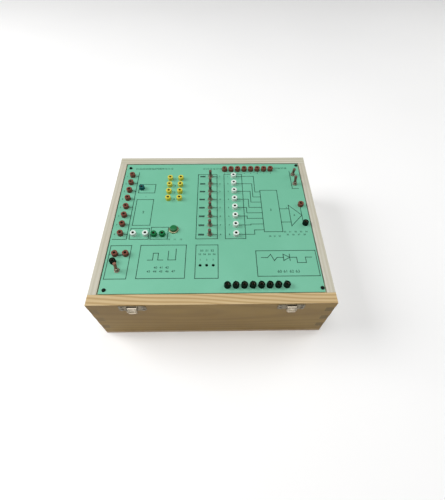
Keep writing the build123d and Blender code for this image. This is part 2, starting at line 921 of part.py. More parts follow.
def heatsink():
    half = heatsink_length / 2
    back = heatsink_y + heatsink_base
    sink = block(heatsink_x - half, heatsink_x + half, heatsink_y, back,
                 board_top, board_top + heatsink_height)
    fin_pitch = (heatsink_length - heatsink_fin) / (heatsink_fin_count - 1)
    for x in spread(heatsink_x, fin_pitch, heatsink_fin_count):
        sink = sink + block(x - heatsink_fin / 2, x + heatsink_fin / 2, back,
                            back + heatsink_fin_reach, board_top, board_top + heatsink_height)
    return sink


def regulators():
    """Power packages that stand against the heatsink's face."""
    width, depth, height = regulator_size
    low = board_top + regulator_tab_height
    bodies = []
    for x in spread(heatsink_x, regulator_pitch, regulator_count):
        body = block(x - width / 2, x + width / 2, heatsink_y - depth, heatsink_y, low, low + height)
        body = body + block(x - width / 2, x + width / 2, heatsink_y - regulator_tab_thickness,
                            heatsink_y, low + height, low + height + regulator_tab_height)
        for leg_x in spread(x, regulator_leg_pitch, 3):
            body = body + block(leg_x - regulator_leg_width / 2, leg_x + regulator_leg_width / 2,
                                heatsink_y - depth / 2 - regulator_leg_width, heatsink_y - depth / 2,
                                board_top, low)
        bodies.append(body)
    return bodies


# Transformer, standing on the base board

def transformer_core():
    x, y = transformer_x, transformer_y
    z = base_thickness
    core = block(x - core_width / 2, x + core_width / 2, y - core_depth / 2, y + core_depth / 2,
                 z, z + core_height)
    window = (core_width - 2 * core_leg) / 2
    for side in (-1, 1):
        x_edges = sorted((x + side * core_leg / 2, x + side * (core_leg / 2 + window)))
        core = core - block(*x_edges, y - core_depth, y + core_depth,
                            z + core_leg / 2, z + core_height - core_leg / 2)
    return core


def transformer_winding():
    x, y = transformer_x, transformer_y
    z_from = base_thickness + core_leg / 2 + winding_gap
    z_to = base_thickness + core_height - core_leg / 2 - winding_gap
    window = (core_width - 2 * core_leg) / 2
    outer_x = core_leg / 2 + window - winding_gap
    outer_y = core_depth / 2 + winding_overhang
    coil = block(x - outer_x, x + outer_x, y - outer_y, y + outer_y, z_from, z_to)
    coil = fillet(coil.edges().filter_by(Axis.Z), winding_overhang / 2)
    inner_x_ = core_leg / 2 + winding_gap
    inner_y_ = core_depth / 2 + winding_gap
    return coil - block(x - inner_x_, x + inner_x_, y - inner_y_, y + inner_y_, z_from, z_to)


def strap_screw_places():
    x, y = transformer_x, transformer_y
    reach = core_width / 2 + strap_thickness + strap_foot / 2
    return [(x - reach, y), (x + reach, y)]


def transformer_strap():
    """A folded strip over the core with a foot on each side."""
    x, y = transformer_x, transformer_y
    half, t, low = core_width / 2, strap_thickness, base_thickness
    high = low + core_height
    y_edges = (y - strap_width / 2, y + strap_width / 2)
    strap = block(x - half - t, x + half + t, *y_edges, high, high + t)
    for side in (-1, 1):
        wall = sorted((x + side * half, x + side * (half + t)))
        foot = sorted((x + side * half, x + side * (half + t + strap_foot)))
        strap = strap + block(*wall, *y_edges, low, high + t) + block(*foot, *y_edges, low, low + t)
    drill = rod(board_screw_radius, low, low + t)
    return cut(strap, copies(drill, strap_screw_places()))


def board_screws():
    places = board_corners(logic_size, logic_place)
    places += board_corners(supply_size, supply_place)
    return copies(board_screw, places, board_top) + copies(
        strap_screw, strap_screw_places(), base_thickness + strap_thickness
    )


# The nodes

os.makedirs("parts", exist_ok=True)

write("front_board", front_board())
write("back_board", back_board())
write("left_board", side_board(-1))
write("right_board", side_board(1))
write("base_board", base_board())
write("base_screws", *copies(base_screw(), base_screw_places))
write("corner_posts", *corner_posts())
write("panel", panel())
write("panel_screws", *copies(panel_screw, panel_screw_places, panel_top))

for colour, places in socket_places.items():
    write(f"{colour}_socket_heads", *copies(socket_head(), places, panel_top))
write("socket_sleeves", *copies(socket_sleeve(), all_sockets, panel_top))
socket_nut = nut_under_panel(socket_nut_flats, socket_nut_height, shank_radius)
write("socket_nuts", *copies(socket_nut, all_sockets, panel_top))
write("pin_sockets", *copies(pin_socket(), pin_places, panel_top))

write("toggle_bodies", *copies(toggle_body(), toggle_places, panel_top))
write("toggle_bushings", *copies(toggle_bushing(), toggle_places, panel_top))
write("toggle_nuts", *copies(toggle_nut(), toggle_places, panel_top))
terminals = [
    piece for tab in toggle_terminals() for piece in copies(tab, toggle_places, panel_top)
] + [piece for tab in button_terminals() for piece in copies(tab, button_places, panel_top)]
write("switch_terminals", *terminals)
for (name, _, lean), (x, y) in zip(toggles, toggle_places):
    write(f"{name}_lever", Pos(x, y, panel_top) * toggle_lever(lean))

button_nut = nut_under_panel(button_nut_flats, button_nut_height, barrel_radius)
for name, piece in (
    ("button_cap", button_cap()),
    ("button_bezel", button_bezel()),
    ("button_base", button_base()),
    ("button_spring", button_spring()),
    ("button_nut", button_nut),
):
    write(name, *copies(piece, button_places, panel_top))

write("latch_plates", *[latch_place(latch_plate(), side * latch_offset) for side in (-1, 1)])
write("latch_pins", *[latch_place(latch_pin(), side * latch_offset) for side in (-1, 1)])
for name, side in (("left", -1), ("right", 1)):
    x = side * latch_offset
    write(f"{name}_latch_lever", latch_place(latch_lever(), x), latch_place(claw_rivet(), x))
    write(f"{name}_latch_claw", latch_place(latch_claw(), x))

write("hinge_leaves", *copies(hinge_leaf(), [(x, 0) for x in hinge_places]))
write("hinge_pins", *copies(hinge_pin(), [(x, 0) for x in hinge_places]))
write("fitting_screws", *fitting_screws())

write("inlet_body", on_back(inlet_body()))
write("inlet_blades", *[on_back(blade) for blade in inlet_blades()])

write("logic_board", circuit_board(logic_size, logic_place))
write("supply_board", circuit_board(supply_size, supply_place))
write("board_pillars", *pillars())
write("board_screws", *board_screws())
write("chips", *chips())
write("capacitors", *capacitors())
write("heatsink", heatsink())
write("regulators", *regulators())
write("transformer_core", transformer_core())
write("transformer_winding", transformer_winding())
write("transformer_strap", transformer_strap())
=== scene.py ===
import json
import logging
import math
from dataclasses import dataclass, field
from enum import Enum
from typing import Iterable, Sequence

import bmesh
import bpy
from mathutils import Matrix, Vector


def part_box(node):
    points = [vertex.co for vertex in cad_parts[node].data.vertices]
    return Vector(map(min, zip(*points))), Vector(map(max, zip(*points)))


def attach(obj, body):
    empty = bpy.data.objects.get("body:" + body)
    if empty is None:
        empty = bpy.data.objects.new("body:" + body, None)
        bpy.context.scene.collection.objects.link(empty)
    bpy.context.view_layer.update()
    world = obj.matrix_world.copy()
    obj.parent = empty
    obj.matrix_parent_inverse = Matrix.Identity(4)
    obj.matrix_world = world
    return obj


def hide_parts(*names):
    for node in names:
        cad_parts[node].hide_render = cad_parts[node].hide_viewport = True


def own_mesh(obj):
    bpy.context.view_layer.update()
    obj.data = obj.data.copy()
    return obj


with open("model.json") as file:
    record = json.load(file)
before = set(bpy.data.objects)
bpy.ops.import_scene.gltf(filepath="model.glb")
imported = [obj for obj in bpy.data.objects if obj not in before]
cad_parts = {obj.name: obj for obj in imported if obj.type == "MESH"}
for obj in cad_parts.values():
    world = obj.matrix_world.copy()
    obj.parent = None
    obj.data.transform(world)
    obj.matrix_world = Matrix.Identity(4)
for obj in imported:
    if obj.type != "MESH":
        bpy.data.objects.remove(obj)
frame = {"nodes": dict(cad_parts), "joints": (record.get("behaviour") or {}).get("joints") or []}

log = logging.getLogger("trainer")

MM = 0.001
CASE = "case"
WHITE = (1.0, 1.0, 1.0)
WAVE = math.pi / 10  # the Scale at which a wave texture has one wave to the metre
WELD = 0.002 * MM  # corners closer than this are one
FLAT_WITHIN = math.radians(0.5)  # faces that meet flatter than this are joined
EASED_FROM = math.radians(40.0)  # edges that turn more than this are eased
SHARP_FROM = math.radians(32.0)  # edges that turn more than this are shaded sharp
ON_AXIS = 1e-9  # a lathe's point with a smaller radius lies on the axis
ROW_DECIMALS = 4  # solids that stand in one row have places along Y alike to this decimal
Point = tuple[float, float]
Colour = tuple[float, float, float]


class Grain(Enum):
    """The way a board's grain runs: the name of its axis and the axis' number."""

    ALONG_X = ("X", 0)
    ALONG_Y = ("Y", 1)
    ALONG_Z = ("Z", 2)


class Lean(Enum):
    """The way a toggle's lever leans at rest, as a sign along Y."""

    FRONT = -1
    BACK = 1


# Shader nodes


class ShaderBench:
    """Lays out the nodes of one material round its Principled shader."""

    # The sockets of a colour mix, by their places, as its other kinds' have the same names
    FACTOR, FIRST, SECOND, MIXED = 0, 6, 7, 2

    def __init__(self, name: str) -> None:
        """Start an empty material.

        Args:
            name: The material's name.
        """
        self.material = bpy.data.materials.new(name)
        self.material.use_nodes = True
        self.tree = self.material.node_tree
        self.shader = self.tree.nodes["Principled BSDF"]

    def add(self, kind: str, **settings: object) -> bpy.types.Node:
        """Add a node.

        Args:
            kind: The node's type name.
            settings: Properties to set on it.

        Returns:
            The new node.
        """
        node = self.tree.nodes.new(kind)
        for key, value in settings.items():
            setattr(node, key, value)
        return node

    def link(self, source: bpy.types.NodeSocket, target: bpy.types.NodeSocket) -> None:
        """Join two sockets."""
        self.tree.links.new(source, target)

    def place(
        self,
        stretch: Sequence[float] = (1, 1, 1),
        origin: Sequence[float] = (0, 0, 0),
        turn: Sequence[float] = (0, 0, 0),
    ) -> bpy.types.NodeSocket:
        """Object coordinates, read from an origin, turned back and then stretched.

        Args:
            stretch: How much a pattern is drawn out along each axis.
            origin: The pattern's origin in metres.
            turn: The pattern's rotation in radians.

        Returns:
            The vector socket.
        """
        coordinates = self.add("ShaderNodeTexCoord")
        mapping = self.add("ShaderNodeMapping", vector_type="TEXTURE")
        mapping.inputs["Scale"].default_value = stretch
        mapping.inputs["Location"].default_value = origin
        mapping.inputs["Rotation"].default_value = turn
        self.link(coordinates.outputs["Object"], mapping.inputs["Vector"])
        return mapping.outputs["Vector"]

    def noise(
        self, vector: bpy.types.NodeSocket, scale: float, detail: float, roughness: float
    ) -> bpy.types.NodeSocket:
        """A noise pattern between 0 and 1.

        Args:
            vector: Where the pattern is read.
            scale: Patches per metre.
            detail: Octaves of finer noise.
            roughness: Weight of the finer octaves.

        Returns:
            The factor socket.
        """
        node = self.add("ShaderNodeTexNoise")
        node.inputs["Scale"].default_value = scale
        node.inputs["Detail"].default_value = detail
        node.inputs["Roughness"].default_value = roughness
        self.link(vector, node.inputs["Vector"])
        return node.outputs["Fac"]

    def ramp(
        self, factor: bpy.types.NodeSocket, stops: Iterable[tuple[float, Colour]]
    ) -> bpy.types.NodeSocket:
        """Colours along a factor.

        Args:
            factor: The factor socket.
            stops: Places from 0 to 1, with their colours.

        Returns:
            The colour socket.
        """
        node = self.add("ShaderNodeValToRGB")
        points = list(stops)
        elements = node.color_ramp.elements
        while len(elements) < len(points):
            elements.new(0.5)
        for element, (where, colour) in zip(elements, points):
            element.position = where
            element.color = (*colour, 1.0)
        self.link(factor, node.inputs["Fac"])
        return node.outputs["Color"]

    def span(
        self, factor: bpy.types.NodeSocket, low: float, high: float
    ) -> bpy.types.NodeSocket:
        """Map a factor of 0 to 1 onto a range.

        Args:
            factor: The factor socket.
            low: The value at 0.
            high: The value at 1.

        Returns:
            The mapped socket.
        """
        node = self.add("ShaderNodeMapRange")
        node.inputs["To Min"].default_value = low
        node.inputs["To Max"].default_value = high
        self.link(factor, node.inputs["Value"])
        return node.outputs["Result"]

    def mix(
        self,
        factor: bpy.types.NodeSocket | float,
        first: bpy.types.NodeSocket,
        second: bpy.types.NodeSocket | Colour,
        blend: str = "MIX",
    ) -> bpy.types.NodeSocket:
        """Mix two colours.

        Args:
            factor: A socket or a plain number.
            first: The colour at 0.
            second: The colour at 1, as a socket or a plain colour.
            blend: The way the two are blended.

        Returns:
            The colour socket.
        """
        node = self.add("ShaderNodeMix", data_type="RGBA", blend_type=blend)
        if isinstance(factor, (int, float)):
            node.inputs[self.FACTOR].default_value = factor
        else:
            self.link(factor, node.inputs[self.FACTOR])
        self.link(first, node.inputs[self.FIRST])
        if isinstance(second, tuple):
            node.inputs[self.SECOND].default_value = (*second, 1.0)
        else:
            self.link(second, node.inputs[self.SECOND])
        return node.outputs[self.MIXED]

    def bump(self, height: bpy.types.NodeSocket, depth: float) -> None:
        """Give the shader a bumpy normal.

        Args:
            height: The height pattern, 0 to 1.
            depth: The pattern's depth in metres.
        """
        node = self.add("ShaderNodeBump")
        node.inputs["Distance"].default_value = depth
        node.inputs["Strength"].default_value = 1.0
        self.link(height, node.inputs["Height"])
        self.link(node.outputs["Normal"], self.shader.inputs["Normal"])

    def feed(self, name: str, source: bpy.types.NodeSocket) -> None:
        """Link a pattern to one of the shader's sockets."""
        self.link(source, self.shader.inputs[name])

    def set(self, name: str, value: float | Sequence[float]) -> None:
        """Set one of the shader's plain values."""
        self.shader.inputs[name].default_value = value


def grey(value: float) -> Colour:
    """An even grey."""
    return (value, value, value)


@dataclass(frozen=True)
class Timber:
    """Softwood whose growth rings run round a pith that lies beside the board, a little askew."""

    name: str
    grain: Grain
    light: Colour
    dark: Colour
    pith: tuple[float, float, float]
    ring_pitch: float = 5.0 * MM
    askew: tuple[float, float, float] = (0.0, 0.0, 0.0)
    wander: float = 4.5
    reach: float = 9.0
    contrast: float = 0.8
    fibre_reach: float = 50.0
    patch_reach: float = 7.0
    depth: float = 0.04 * MM

    def make(self) -> bpy.types.Material:
        """Build the material.

        Returns:
            The finished material.
        """
        bench = ShaderBench(self.name)
        letter, along = self.grain.value
        stretch = [1.0, 1.0, 1.0]
        stretch[along] = self.reach
        rings = bench.add(
            "ShaderNodeTexWave", wave_type="RINGS", rings_direction=letter, wave_profile="SIN"
        )
        rings.inputs["Scale"].default_value = WAVE / self.ring_pitch
        rings.inputs["Distortion"].default_value = self.wander
        rings.inputs["Detail"].default_value = 2.0
        rings.inputs["Detail Scale"].default_value = 0.22
        rings.inputs["Detail Roughness"].default_value = 0.3
        bench.link(bench.place(stretch, self.pith, self.askew), rings.inputs["Vector"])
        middle = tuple((a + 2 * b) / 3 for a, b in zip(self.light, self.dark))
        ringed = bench.ramp(
            rings.outputs["Fac"],
            (
                (0.0, self.light),
                (0.40, self.light),
                (0.78, middle),
                (0.93, self.dark),
                (1.0, middle),
            ),
        )
        clouds = bench.noise(bench.place(stretch), 30, 2, 0.5)
        plain = bench.ramp(clouds, ((0.3, self.light), (0.7, middle)))
        grown = bench.mix(self.contrast, plain, ringed)
        stretch[along] = self.fibre_reach
        fibre = bench.noise(bench.place(stretch), 700, 4, 0.6)
        streaks = bench.ramp(fibre, ((0.34, (0.86, 0.82, 0.76)), (0.62, WHITE)))
        tinted = bench.mix(0.45, grown, streaks, "MULTIPLY")
        stretch[along] = self.patch_reach
        broad = bench.noise(bench.place(stretch), 34, 3, 0.55)
        patches = bench.ramp(broad, ((0.3, (0.88, 0.83, 0.76)), (0.7, WHITE)))
        bench.feed("Base Color", bench.mix(0.65, tinted, patches, "MULTIPLY"))
        bench.feed("Roughness", bench.span(fibre, 0.45, 0.65))
        bench.set("Specular IOR Level", 0.35)
        bench.bump(fibre, self.depth)
        return bench.material


@dataclass(frozen=True)
class Layered:
    """Plywood: thin layers that show at its edges."""

    name: str
    light: Colour
    dark: Colour
    layer: float = 1.2 * MM

    def make(self) -> bpy.types.Material:
        """Build the material.

        Returns:
            The finished material.
        """
        bench = ShaderBench(self.name)
        layers = bench.add(
            "ShaderNodeTexWave", wave_type="BANDS", bands_direction="Z", wave_profile="SIN"
        )
        layers.inputs["Scale"].default_value = WAVE / self.layer / 2
        layers.inputs["Distortion"].default_value = 0.6
        bench.link(bench.place((20, 20, 1)), layers.inputs["Vector"])
        coloured = bench.ramp(layers.outputs["Fac"], ((0.3, self.light), (0.8, self.dark)))
        fibre = bench.noise(bench.place((33, 1, 1)), 700, 4, 0.6)
        streaks = bench.ramp(fibre, ((0.3, (0.72, 0.66, 0.58)), (0.65, WHITE)))
        bench.feed("Base Color", bench.mix(0.6, coloured, streaks, "MULTIPLY"))
        bench.feed("Roughness", bench.span(fibre, 0.55, 0.75))
        bench.bump(fibre, 0.06 * MM)
        return bench.material


@dataclass(frozen=True)
class Laminate:
    """A satin sheet with faint clouding and a fine texture."""

    name: str
    colour: Colour
    cloud: Colour
    roughness: float = 0.34

    def make(self) -> bpy.types.Material:
        """Build the material.

        Returns:
            The finished material.
        """
        bench = ShaderBench(self.name)
        broad = bench.noise(bench.place(), 14, 3, 0.5)
        fine = bench.noise(bench.place(), 2600, 2, 0.5)
        bench.feed("Base Color", bench.ramp(broad, ((0.35, self.colour), (0.7, self.cloud))))
        rubbed = bench.noise(bench.place(), 60, 4, 0.6)
        bench.feed("Roughness", bench.span(rubbed, self.roughness - 0.05, self.roughness + 0.12))
        bench.bump(fine, 0.006 * MM)
        return bench.material


@dataclass(frozen=True)
class Moulded:
    """Moulded plastic with a slight unevenness, faded in patches towards grey."""

    name: str
    colour: Colour
    roughness: float = 0.28
    grain: float = 1400.0
    depth: float = 0.006 * MM
    fade: float = 0.16
    faded_to: float = 0.55
    shine: float = 0.5

    def make(self) -> bpy.types.Material:
        """Build the material.

        Returns:
            The finished material.
        """
        bench = ShaderBench(self.name)
        broad = bench.noise(bench.place(), 120, 4, 0.6)
        fine = bench.noise(bench.place(), self.grain, 3, 0.5)
        worn = tuple(value + (self.faded_to - value) * self.fade for value in self.colour)
        bench.feed("Base Color", bench.ramp(broad, ((0.35, self.colour), (0.85, worn))))
        bench.feed("Roughness", bench.span(broad, self.roughness - 0.06, self.roughness + 0.14))
        bench.set("Specular IOR Level", self.shine)
        bench.bump(fine, self.depth)
        return bench.material


@dataclass(frozen=True)
class Plated:
    """Plated or bare metal with fine scratches and duller patches."""

    name: str
    colour: Colour
    dull: Colour
    roughness: float = 0.24
    stroke: Grain = Grain.ALONG_X
    stroke_reach: float = 16.0
    depth: float = 0.004 * MM

    def make(self) -> bpy.types.Material:
        """Build the material.

        Returns:
            The finished material.
        """
        bench = ShaderBench(self.name)
        stretch = [1.0, 1.0, 1.0]
        stretch[self.stroke.value[1]] = self.stroke_reach
        scratches = bench.noise(bench.place(stretch), 3200, 4, 0.7)
        patches = bench.noise(bench.place(), 260, 5, 0.65)
        bench.feed("Base Color", bench.ramp(patches, ((0.42, self.colour), (0.78, self.dull))))
        even = grey(self.roughness)
        scratched = bench.ramp(scratches, ((0.3, even), (0.8, grey(self.roughness + 0.2))))
        dulled = bench.ramp(patches, ((0.4, even), (0.8, grey(self.roughness + 0.25))))
        bench.feed("Roughness", bench.mix(0.5, scratched, dulled))
        bench.set("Metallic", 1.0)
        bench.bump(scratches, self.depth)
        return bench.material


@dataclass(frozen=True)
class Ink:
    """Screen-printed ink, a little uneven in density."""

    name: str
    colour: Colour
    thin: Colour

    def make(self) -> bpy.types.Material:
        """Build the material.

        Returns:
            The finished material.
        """
        bench = ShaderBench(self.name)
        density = bench.noise(bench.place(), 900, 4, 0.6)
        bench.feed("Base Color", bench.ramp(density, ((0.4, self.colour), (0.9, self.thin))))
        bench.feed("Roughness", bench.span(density, 0.38, 0.52))
        return bench.material


@dataclass(frozen=True)
class Matt:
    """A plain matt surface with faint patches, for what stands round the object."""

    name: str
    colour: Colour
    other: Colour

    def make(self) -> bpy.types.Material:
        """Build the material.

        Returns:
            The finished material.
        """
        bench = ShaderBench(self.name)
        broad = bench.noise(bench.place(), 3, 2, 0.5)
        bench.feed("Base Color", bench.ramp(broad, ((0.3, self.colour), (0.7, self.other))))
        bench.set("Roughness", 0.9)
        bench.set("Specular IOR Level", 0.1)
        return bench.material


Look = Timber | Layered | Laminate | Moulded | Plated | Ink | Matt


# Mesh tools


@dataclass(frozen=True)
class Place:
    """The room that one solid of a CAD node takes up."""

    low: Vector
    high: Vector

    @property
    def centre(self) -> Vector:
        """The middle of the solid's box."""
        return (self.low + self.high) / 2


def welded(node: str) -> bmesh.types.BMesh:
    """Join a CAD node's loose triangles at their shared corners.

    Args:
        node: The CAD node's name.

    Returns:
        A new welded bmesh, which the caller frees.
    """
    bm = bmesh.new()
    bm.from_mesh(frame["nodes"][node].data)
    bmesh.ops.remove_doubles(bm, verts=bm.verts, dist=WELD)
    return bm


def places_of(node: str) -> list[Place]:
    """Find the separate solids of a CAD node.

    Args:
        node: The CAD node's name.

    Returns:
        One place for each solid, from the back to the front and then from left to right.
    """
    bm = welded(node)
    found: list[Place] = []
    seen: set[int] = set()
    bm.verts.index_update()
    for start in bm.verts:
        if start.index in seen:
            continue
        seen.add(start.index)
        waiting, corners = [start], []
        while waiting:
            vert = waiting.pop()
            corners.append(vert.co.copy())
            for edge in vert.link_edges:
                other = edge.other_vert(vert)
                if other.index not in seen:
                    seen.add(other.index)
                    waiting.append(other)
        low = Vector(tuple(min(c[i] for c in corners) for i in range(3)))
        high = Vector(tuple(max(c[i] for c in corners) for i in range(3)))
        found.append(Place(low, high))
    bm.free()
    return sorted(found, key=lambda p: (-round(p.centre.y, ROW_DECIMALS), p.centre.x))


def spots_on(node: str, height: float) -> list[Vector]:
    """Find where the solids of a CAD node stand on a face.

    Args:
        node: The CAD node's name.
        height: The face's height in metres.

    Returns:
        The middle of each solid's box, brought to that height.
    """
    return [Vector((p.centre.x, p.centre.y, height)) for p in places_of(node)]


def new_object(name: str, mesh: bpy.types.Mesh) -> bpy.types.Object:
    """Put a mesh in the scene.

    Args:
        name: The object's name.
        mesh: Its mesh.

    Returns:
        The linked object.
    """
    made = bpy.data.objects.new(name, mesh)
    bpy.context.scene.collection.objects.link(made)
    return made


def smooth(mesh: bpy.types.Mesh) -> None:
    """Shade a mesh smooth except at its sharp edges."""
    mesh.shade_smooth()
    mesh.set_sharp_from_angle(angle=SHARP_FROM)


def settle(obj: bpy.types.Object) -> bpy.types.Object:
    """Turn an object with modifiers into a plain mesh.

    Args:
        obj: The object.

    Returns:
        The same object with its modifiers carried out and removed.
    """
    graph = bpy.context.evaluated_depsgraph_get()
    mesh = bpy.data.meshes.new_from_object(obj.evaluated_get(graph), depsgraph=graph)
    obj.modifiers.clear()
    obj.data = mesh
    return obj


def eased_copy(node: str, name: str, ease: float) -> bpy.types.Object:
    """Copy a CAD node with its sharp edges eased.

    Args:
        node: The CAD node's name.
        name: The new object's name.
        ease: Width of the eased edge in metres, or 0 to leave the edges sharp.

    Returns:
        The new object, at the origin.
    """
    bm = welded(node)
    bmesh.ops.dissolve_limit(bm, angle_limit=FLAT_WITHIN, verts=bm.verts, edges=bm.edges)
    bm.verts.index_update()
    corners = [tuple(v.co) for v in bm.verts]
    faces = [tuple(v.index for v in f.verts) for f in bm.faces]
    bm.free()
    mesh = bpy.data.meshes.new(name)
    mesh.from_pydata(corners, [], faces)
    made = new_object(name, mesh)
    if ease > 0:
        bevel = made.modifiers.new("Ease", "BEVEL")
        bevel.width = ease
        bevel.segments = 2
        bevel.limit_method = "ANGLE"
        bevel.angle_limit = EASED_FROM
        bevel.use_clamp_overlap = True
        settle(made)
    smooth(made.data)
    flat = made.modifiers.new("Flat faces", "WEIGHTED_NORMAL")
    flat.keep_sharp = True
    return settle(made)


def round_corner(
    middle: Point, start: float, end: float, radius: float, steps: int
) -> list[Point]:
    """Points of an arc round its middle.

    Args:
        middle: The arc's middle.
        start: First angle in degrees.
        end: Last angle in degrees.
        radius: The arc's radius.
        steps: Number of stretches.

    Returns:
        The arc's points.
    """
    angles = [math.radians(start + (end - start) * i / steps) for i in range(steps + 1)]
    return [(middle[0] + radius * math.cos(a), middle[1] + radius * math.sin(a)) for a in angles]


def lathe(
    name: str, outline: Sequence[Point], segments: int, sided: Sequence[bool] | None = None
) -> bpy.types.Mesh:
    """Turn an outline round the Z axis.

    Args:
        name: The mesh's name.
        outline: (radius, height) points in metres, a closed ring unless they begin and end on
            the axis.
        segments: Steps round the axis, a multiple of 12 where a point is six-sided.
        sided: True for each point that lies on a hexagon rather than a circle.

    Returns:
        A closed mesh.
    """
    solid = outline[0][0] < ON_AXIS and outline[-1][0] < ON_AXIS
    side = math.pi / 3  # the angle that one side of a hexagon takes up
    flags = list(sided) if sided else [False] * len(outline)
    bm = bmesh.new()
    rings = []
    for (radius, height), hexed in zip(outline, flags):
        if radius < ON_AXIS:
            rings.append([bm.verts.new((0, 0, height))])
            continue
        ring = []
        for i in range(segments):
            turn = 2 * math.pi * i / segments
            reach = radius
            if hexed:
                reach = radius / math.cos((turn + side / 2) % side - side / 2)
            ring.append(bm.verts.new((reach * math.cos(turn), reach * math.sin(turn), height)))
        rings.append(ring)
    pairs = list(zip(rings, rings[1:]))
    if not solid:
        pairs.append((rings[-1], rings[0]))
    for first, second in pairs:
        for i in range(segments):
            j = (i + 1) % segments
            loop = [
                first[i % len(first)],
                first[j % len(first)],
                second[j % len(second)],
                second[i % len(second)],
            ]
            unique = list(dict.fromkeys(loop))
            if len(unique) > 2:
                bm.faces.new(unique)
    bmesh.ops.recalc_face_normals(bm, faces=bm.faces)
    mesh = bpy.data.meshes.new(name)
    bm.to_mesh(mesh)
    bm.free()
    smooth(mesh)
    return mesh


# Geometry node trees


class Tree:
    """A geometry node tree with named inputs."""

    def __init__(self, name: str) -> None:
        """Start an empty tree with one geometry in and one out.

        Args:
            name: The tree's name.
        """
        self.group = bpy.data.node_groups.new(name, "GeometryNodeTree")
        for way in ("INPUT", "OUTPUT"):
            self.group.interface.new_socket(
                "Geometry", in_out=way, socket_type="NodeSocketGeometry"
            )
        self.source = self.group.nodes.new("NodeGroupInput")
        self.target = self.group.nodes.new("NodeGroupOutput")

    def take(self, name: str, kind: str, default: object = None) -> None:
        """Add a named input.

        Args:
            name: The input's name.
            kind: The socket's type name.
            default: Its value where none is given.
        """
        made = self.group.interface.new_socket(name, in_out="INPUT", socket_type=kind)
        if default is not None:
            made.default_value = default

    def add(self, kind: str, **settings: object) -> bpy.types.Node:
        """Add a node.

        Args:
            kind: The node's type name.
            settings: Properties to set on it.

        Returns:
            The new node.
        """
        node = self.group.nodes.new(kind)
        for key, value in settings.items():
            setattr(node, key, value)
        return node

    def link(self, source: bpy.types.NodeSocket, target: bpy.types.NodeSocket) -> None:
        """Join two sockets."""
        self.group.links.new(source, target)

    def close(self, geometry: bpy.types.NodeSocket) -> None:
        """End the tree in real geometry with its material.

        Args:
            geometry: The last geometry socket.
        """
        real = self.add("GeometryNodeRealizeInstances")
        dressed = self.add("GeometryNodeSetMaterial")
        self.link(geometry, real.inputs["Geometry"])
        self.link(real.outputs["Geometry"], dressed.inputs["Geometry"])
        self.link(self.source.outputs["Finish"], dressed.inputs["Material"])
        self.link(dressed.outputs["Geometry"], self.target.inputs["Geometry"])

    def grow(self, obj: bpy.types.Object, **values: object) -> bpy.types.Object:
        """Run the tree on an object and keep the result as a plain mesh.

        Args:
            obj: The object whose mesh the tree reads.
            values: Input values by the inputs' names, with _ for a space.

        Returns:
            The same object with its finished mesh.
        """
        modifier = obj.modifiers.new(self.group.name, "NODES")
        modifier.node_group = self.group
        for item in self.group.interface.items_tree:
            key = item.name.replace(" ", "_")
            if item.item_type == "SOCKET" and item.in_out == "INPUT" and key in values:
                modifier[item.identifier] = values[key]
        return settle(obj)


def spread_tree() -> Tree:
    """Build the tree that sets a copy of one piece on every point, each turned its own way.

    Returns:
        The tree, with inputs Piece, Turn, Seed and Finish.
    """
    least, most, drawn = 2, 3, 1  # the plain number's sockets on a node that draws many kinds
    tree = Tree("Spread pieces")
    tree.take("Piece", "NodeSocketObject")
    tree.take("Turn", "NodeSocketFloat", 0.0)
    tree.take("Seed", "NodeSocketInt", 1)
    tree.take("Finish", "NodeSocketMaterial")
    piece = tree.add("GeometryNodeObjectInfo")
    tree.link(tree.source.outputs["Piece"], piece.inputs["Object"])
    back = tree.add("ShaderNodeMath", operation="MULTIPLY")
    back.inputs[1].default_value = -1.0
    tree.link(tree.source.outputs["Turn"], back.inputs[0])
    chance = tree.add("FunctionNodeRandomValue", data_type="FLOAT")
    tree.link(back.outputs[0], chance.inputs[least])
    tree.link(tree.source.outputs["Turn"], chance.inputs[most])
    tree.link(tree.source.outputs["Seed"], chance.inputs["Seed"])
    turned = tree.add("ShaderNodeCombineXYZ")
    tree.link(chance.outputs[drawn], turned.inputs["Z"])
    spread = tree.add("GeometryNodeInstanceOnPoints")
    tree.link(tree.source.outputs["Geometry"], spread.inputs["Points"])
    tree.link(piece.outputs["Geometry"], spread.inputs["Instance"])
    tree.link(turned.outputs[0], spread.inputs["Rotation"])
    tree.close(spread.outputs["Instances"])
    return tree


def line_tree() -> Tree:
    """Build the tree that gives printed strokes their width and the ink its thickness.

    Returns:
        The tree, with inputs Width, Thickness and Finish.
    """
    tree = Tree("Printed strokes")
    tree.take("Width", "NodeSocketFloat", 1.0 * MM)
    tree.take("Thickness", "NodeSocketFloat", 0.05 * MM)
    tree.take("Finish", "NodeSocketMaterial")
    curves = tree.add("GeometryNodeMeshToCurve")
    upright = tree.add("GeometryNodeSetCurveNormal", mode="Z_UP")
    bar = tree.add("GeometryNodeCurvePrimitiveQuadrilateral")
    tree.link(tree.source.outputs["Width"], bar.inputs["Width"])
    tree.link(tree.source.outputs["Thickness"], bar.inputs["Height"])
    swept = tree.add("GeometryNodeCurveToMesh")
    swept.inputs["Fill Caps"].default_value = True
    tree.link(tree.source.outputs["Geometry"], curves.inputs["Mesh"])
    tree.link(curves.outputs["Curve"], upright.inputs["Curve"])
    tree.link(upright.outputs["Curve"], swept.inputs["Curve"])
    tree.link(bar.outputs["Curve"], swept.inputs["Profile Curve"])
    tree.close(swept.outputs["Mesh"])
    return tree


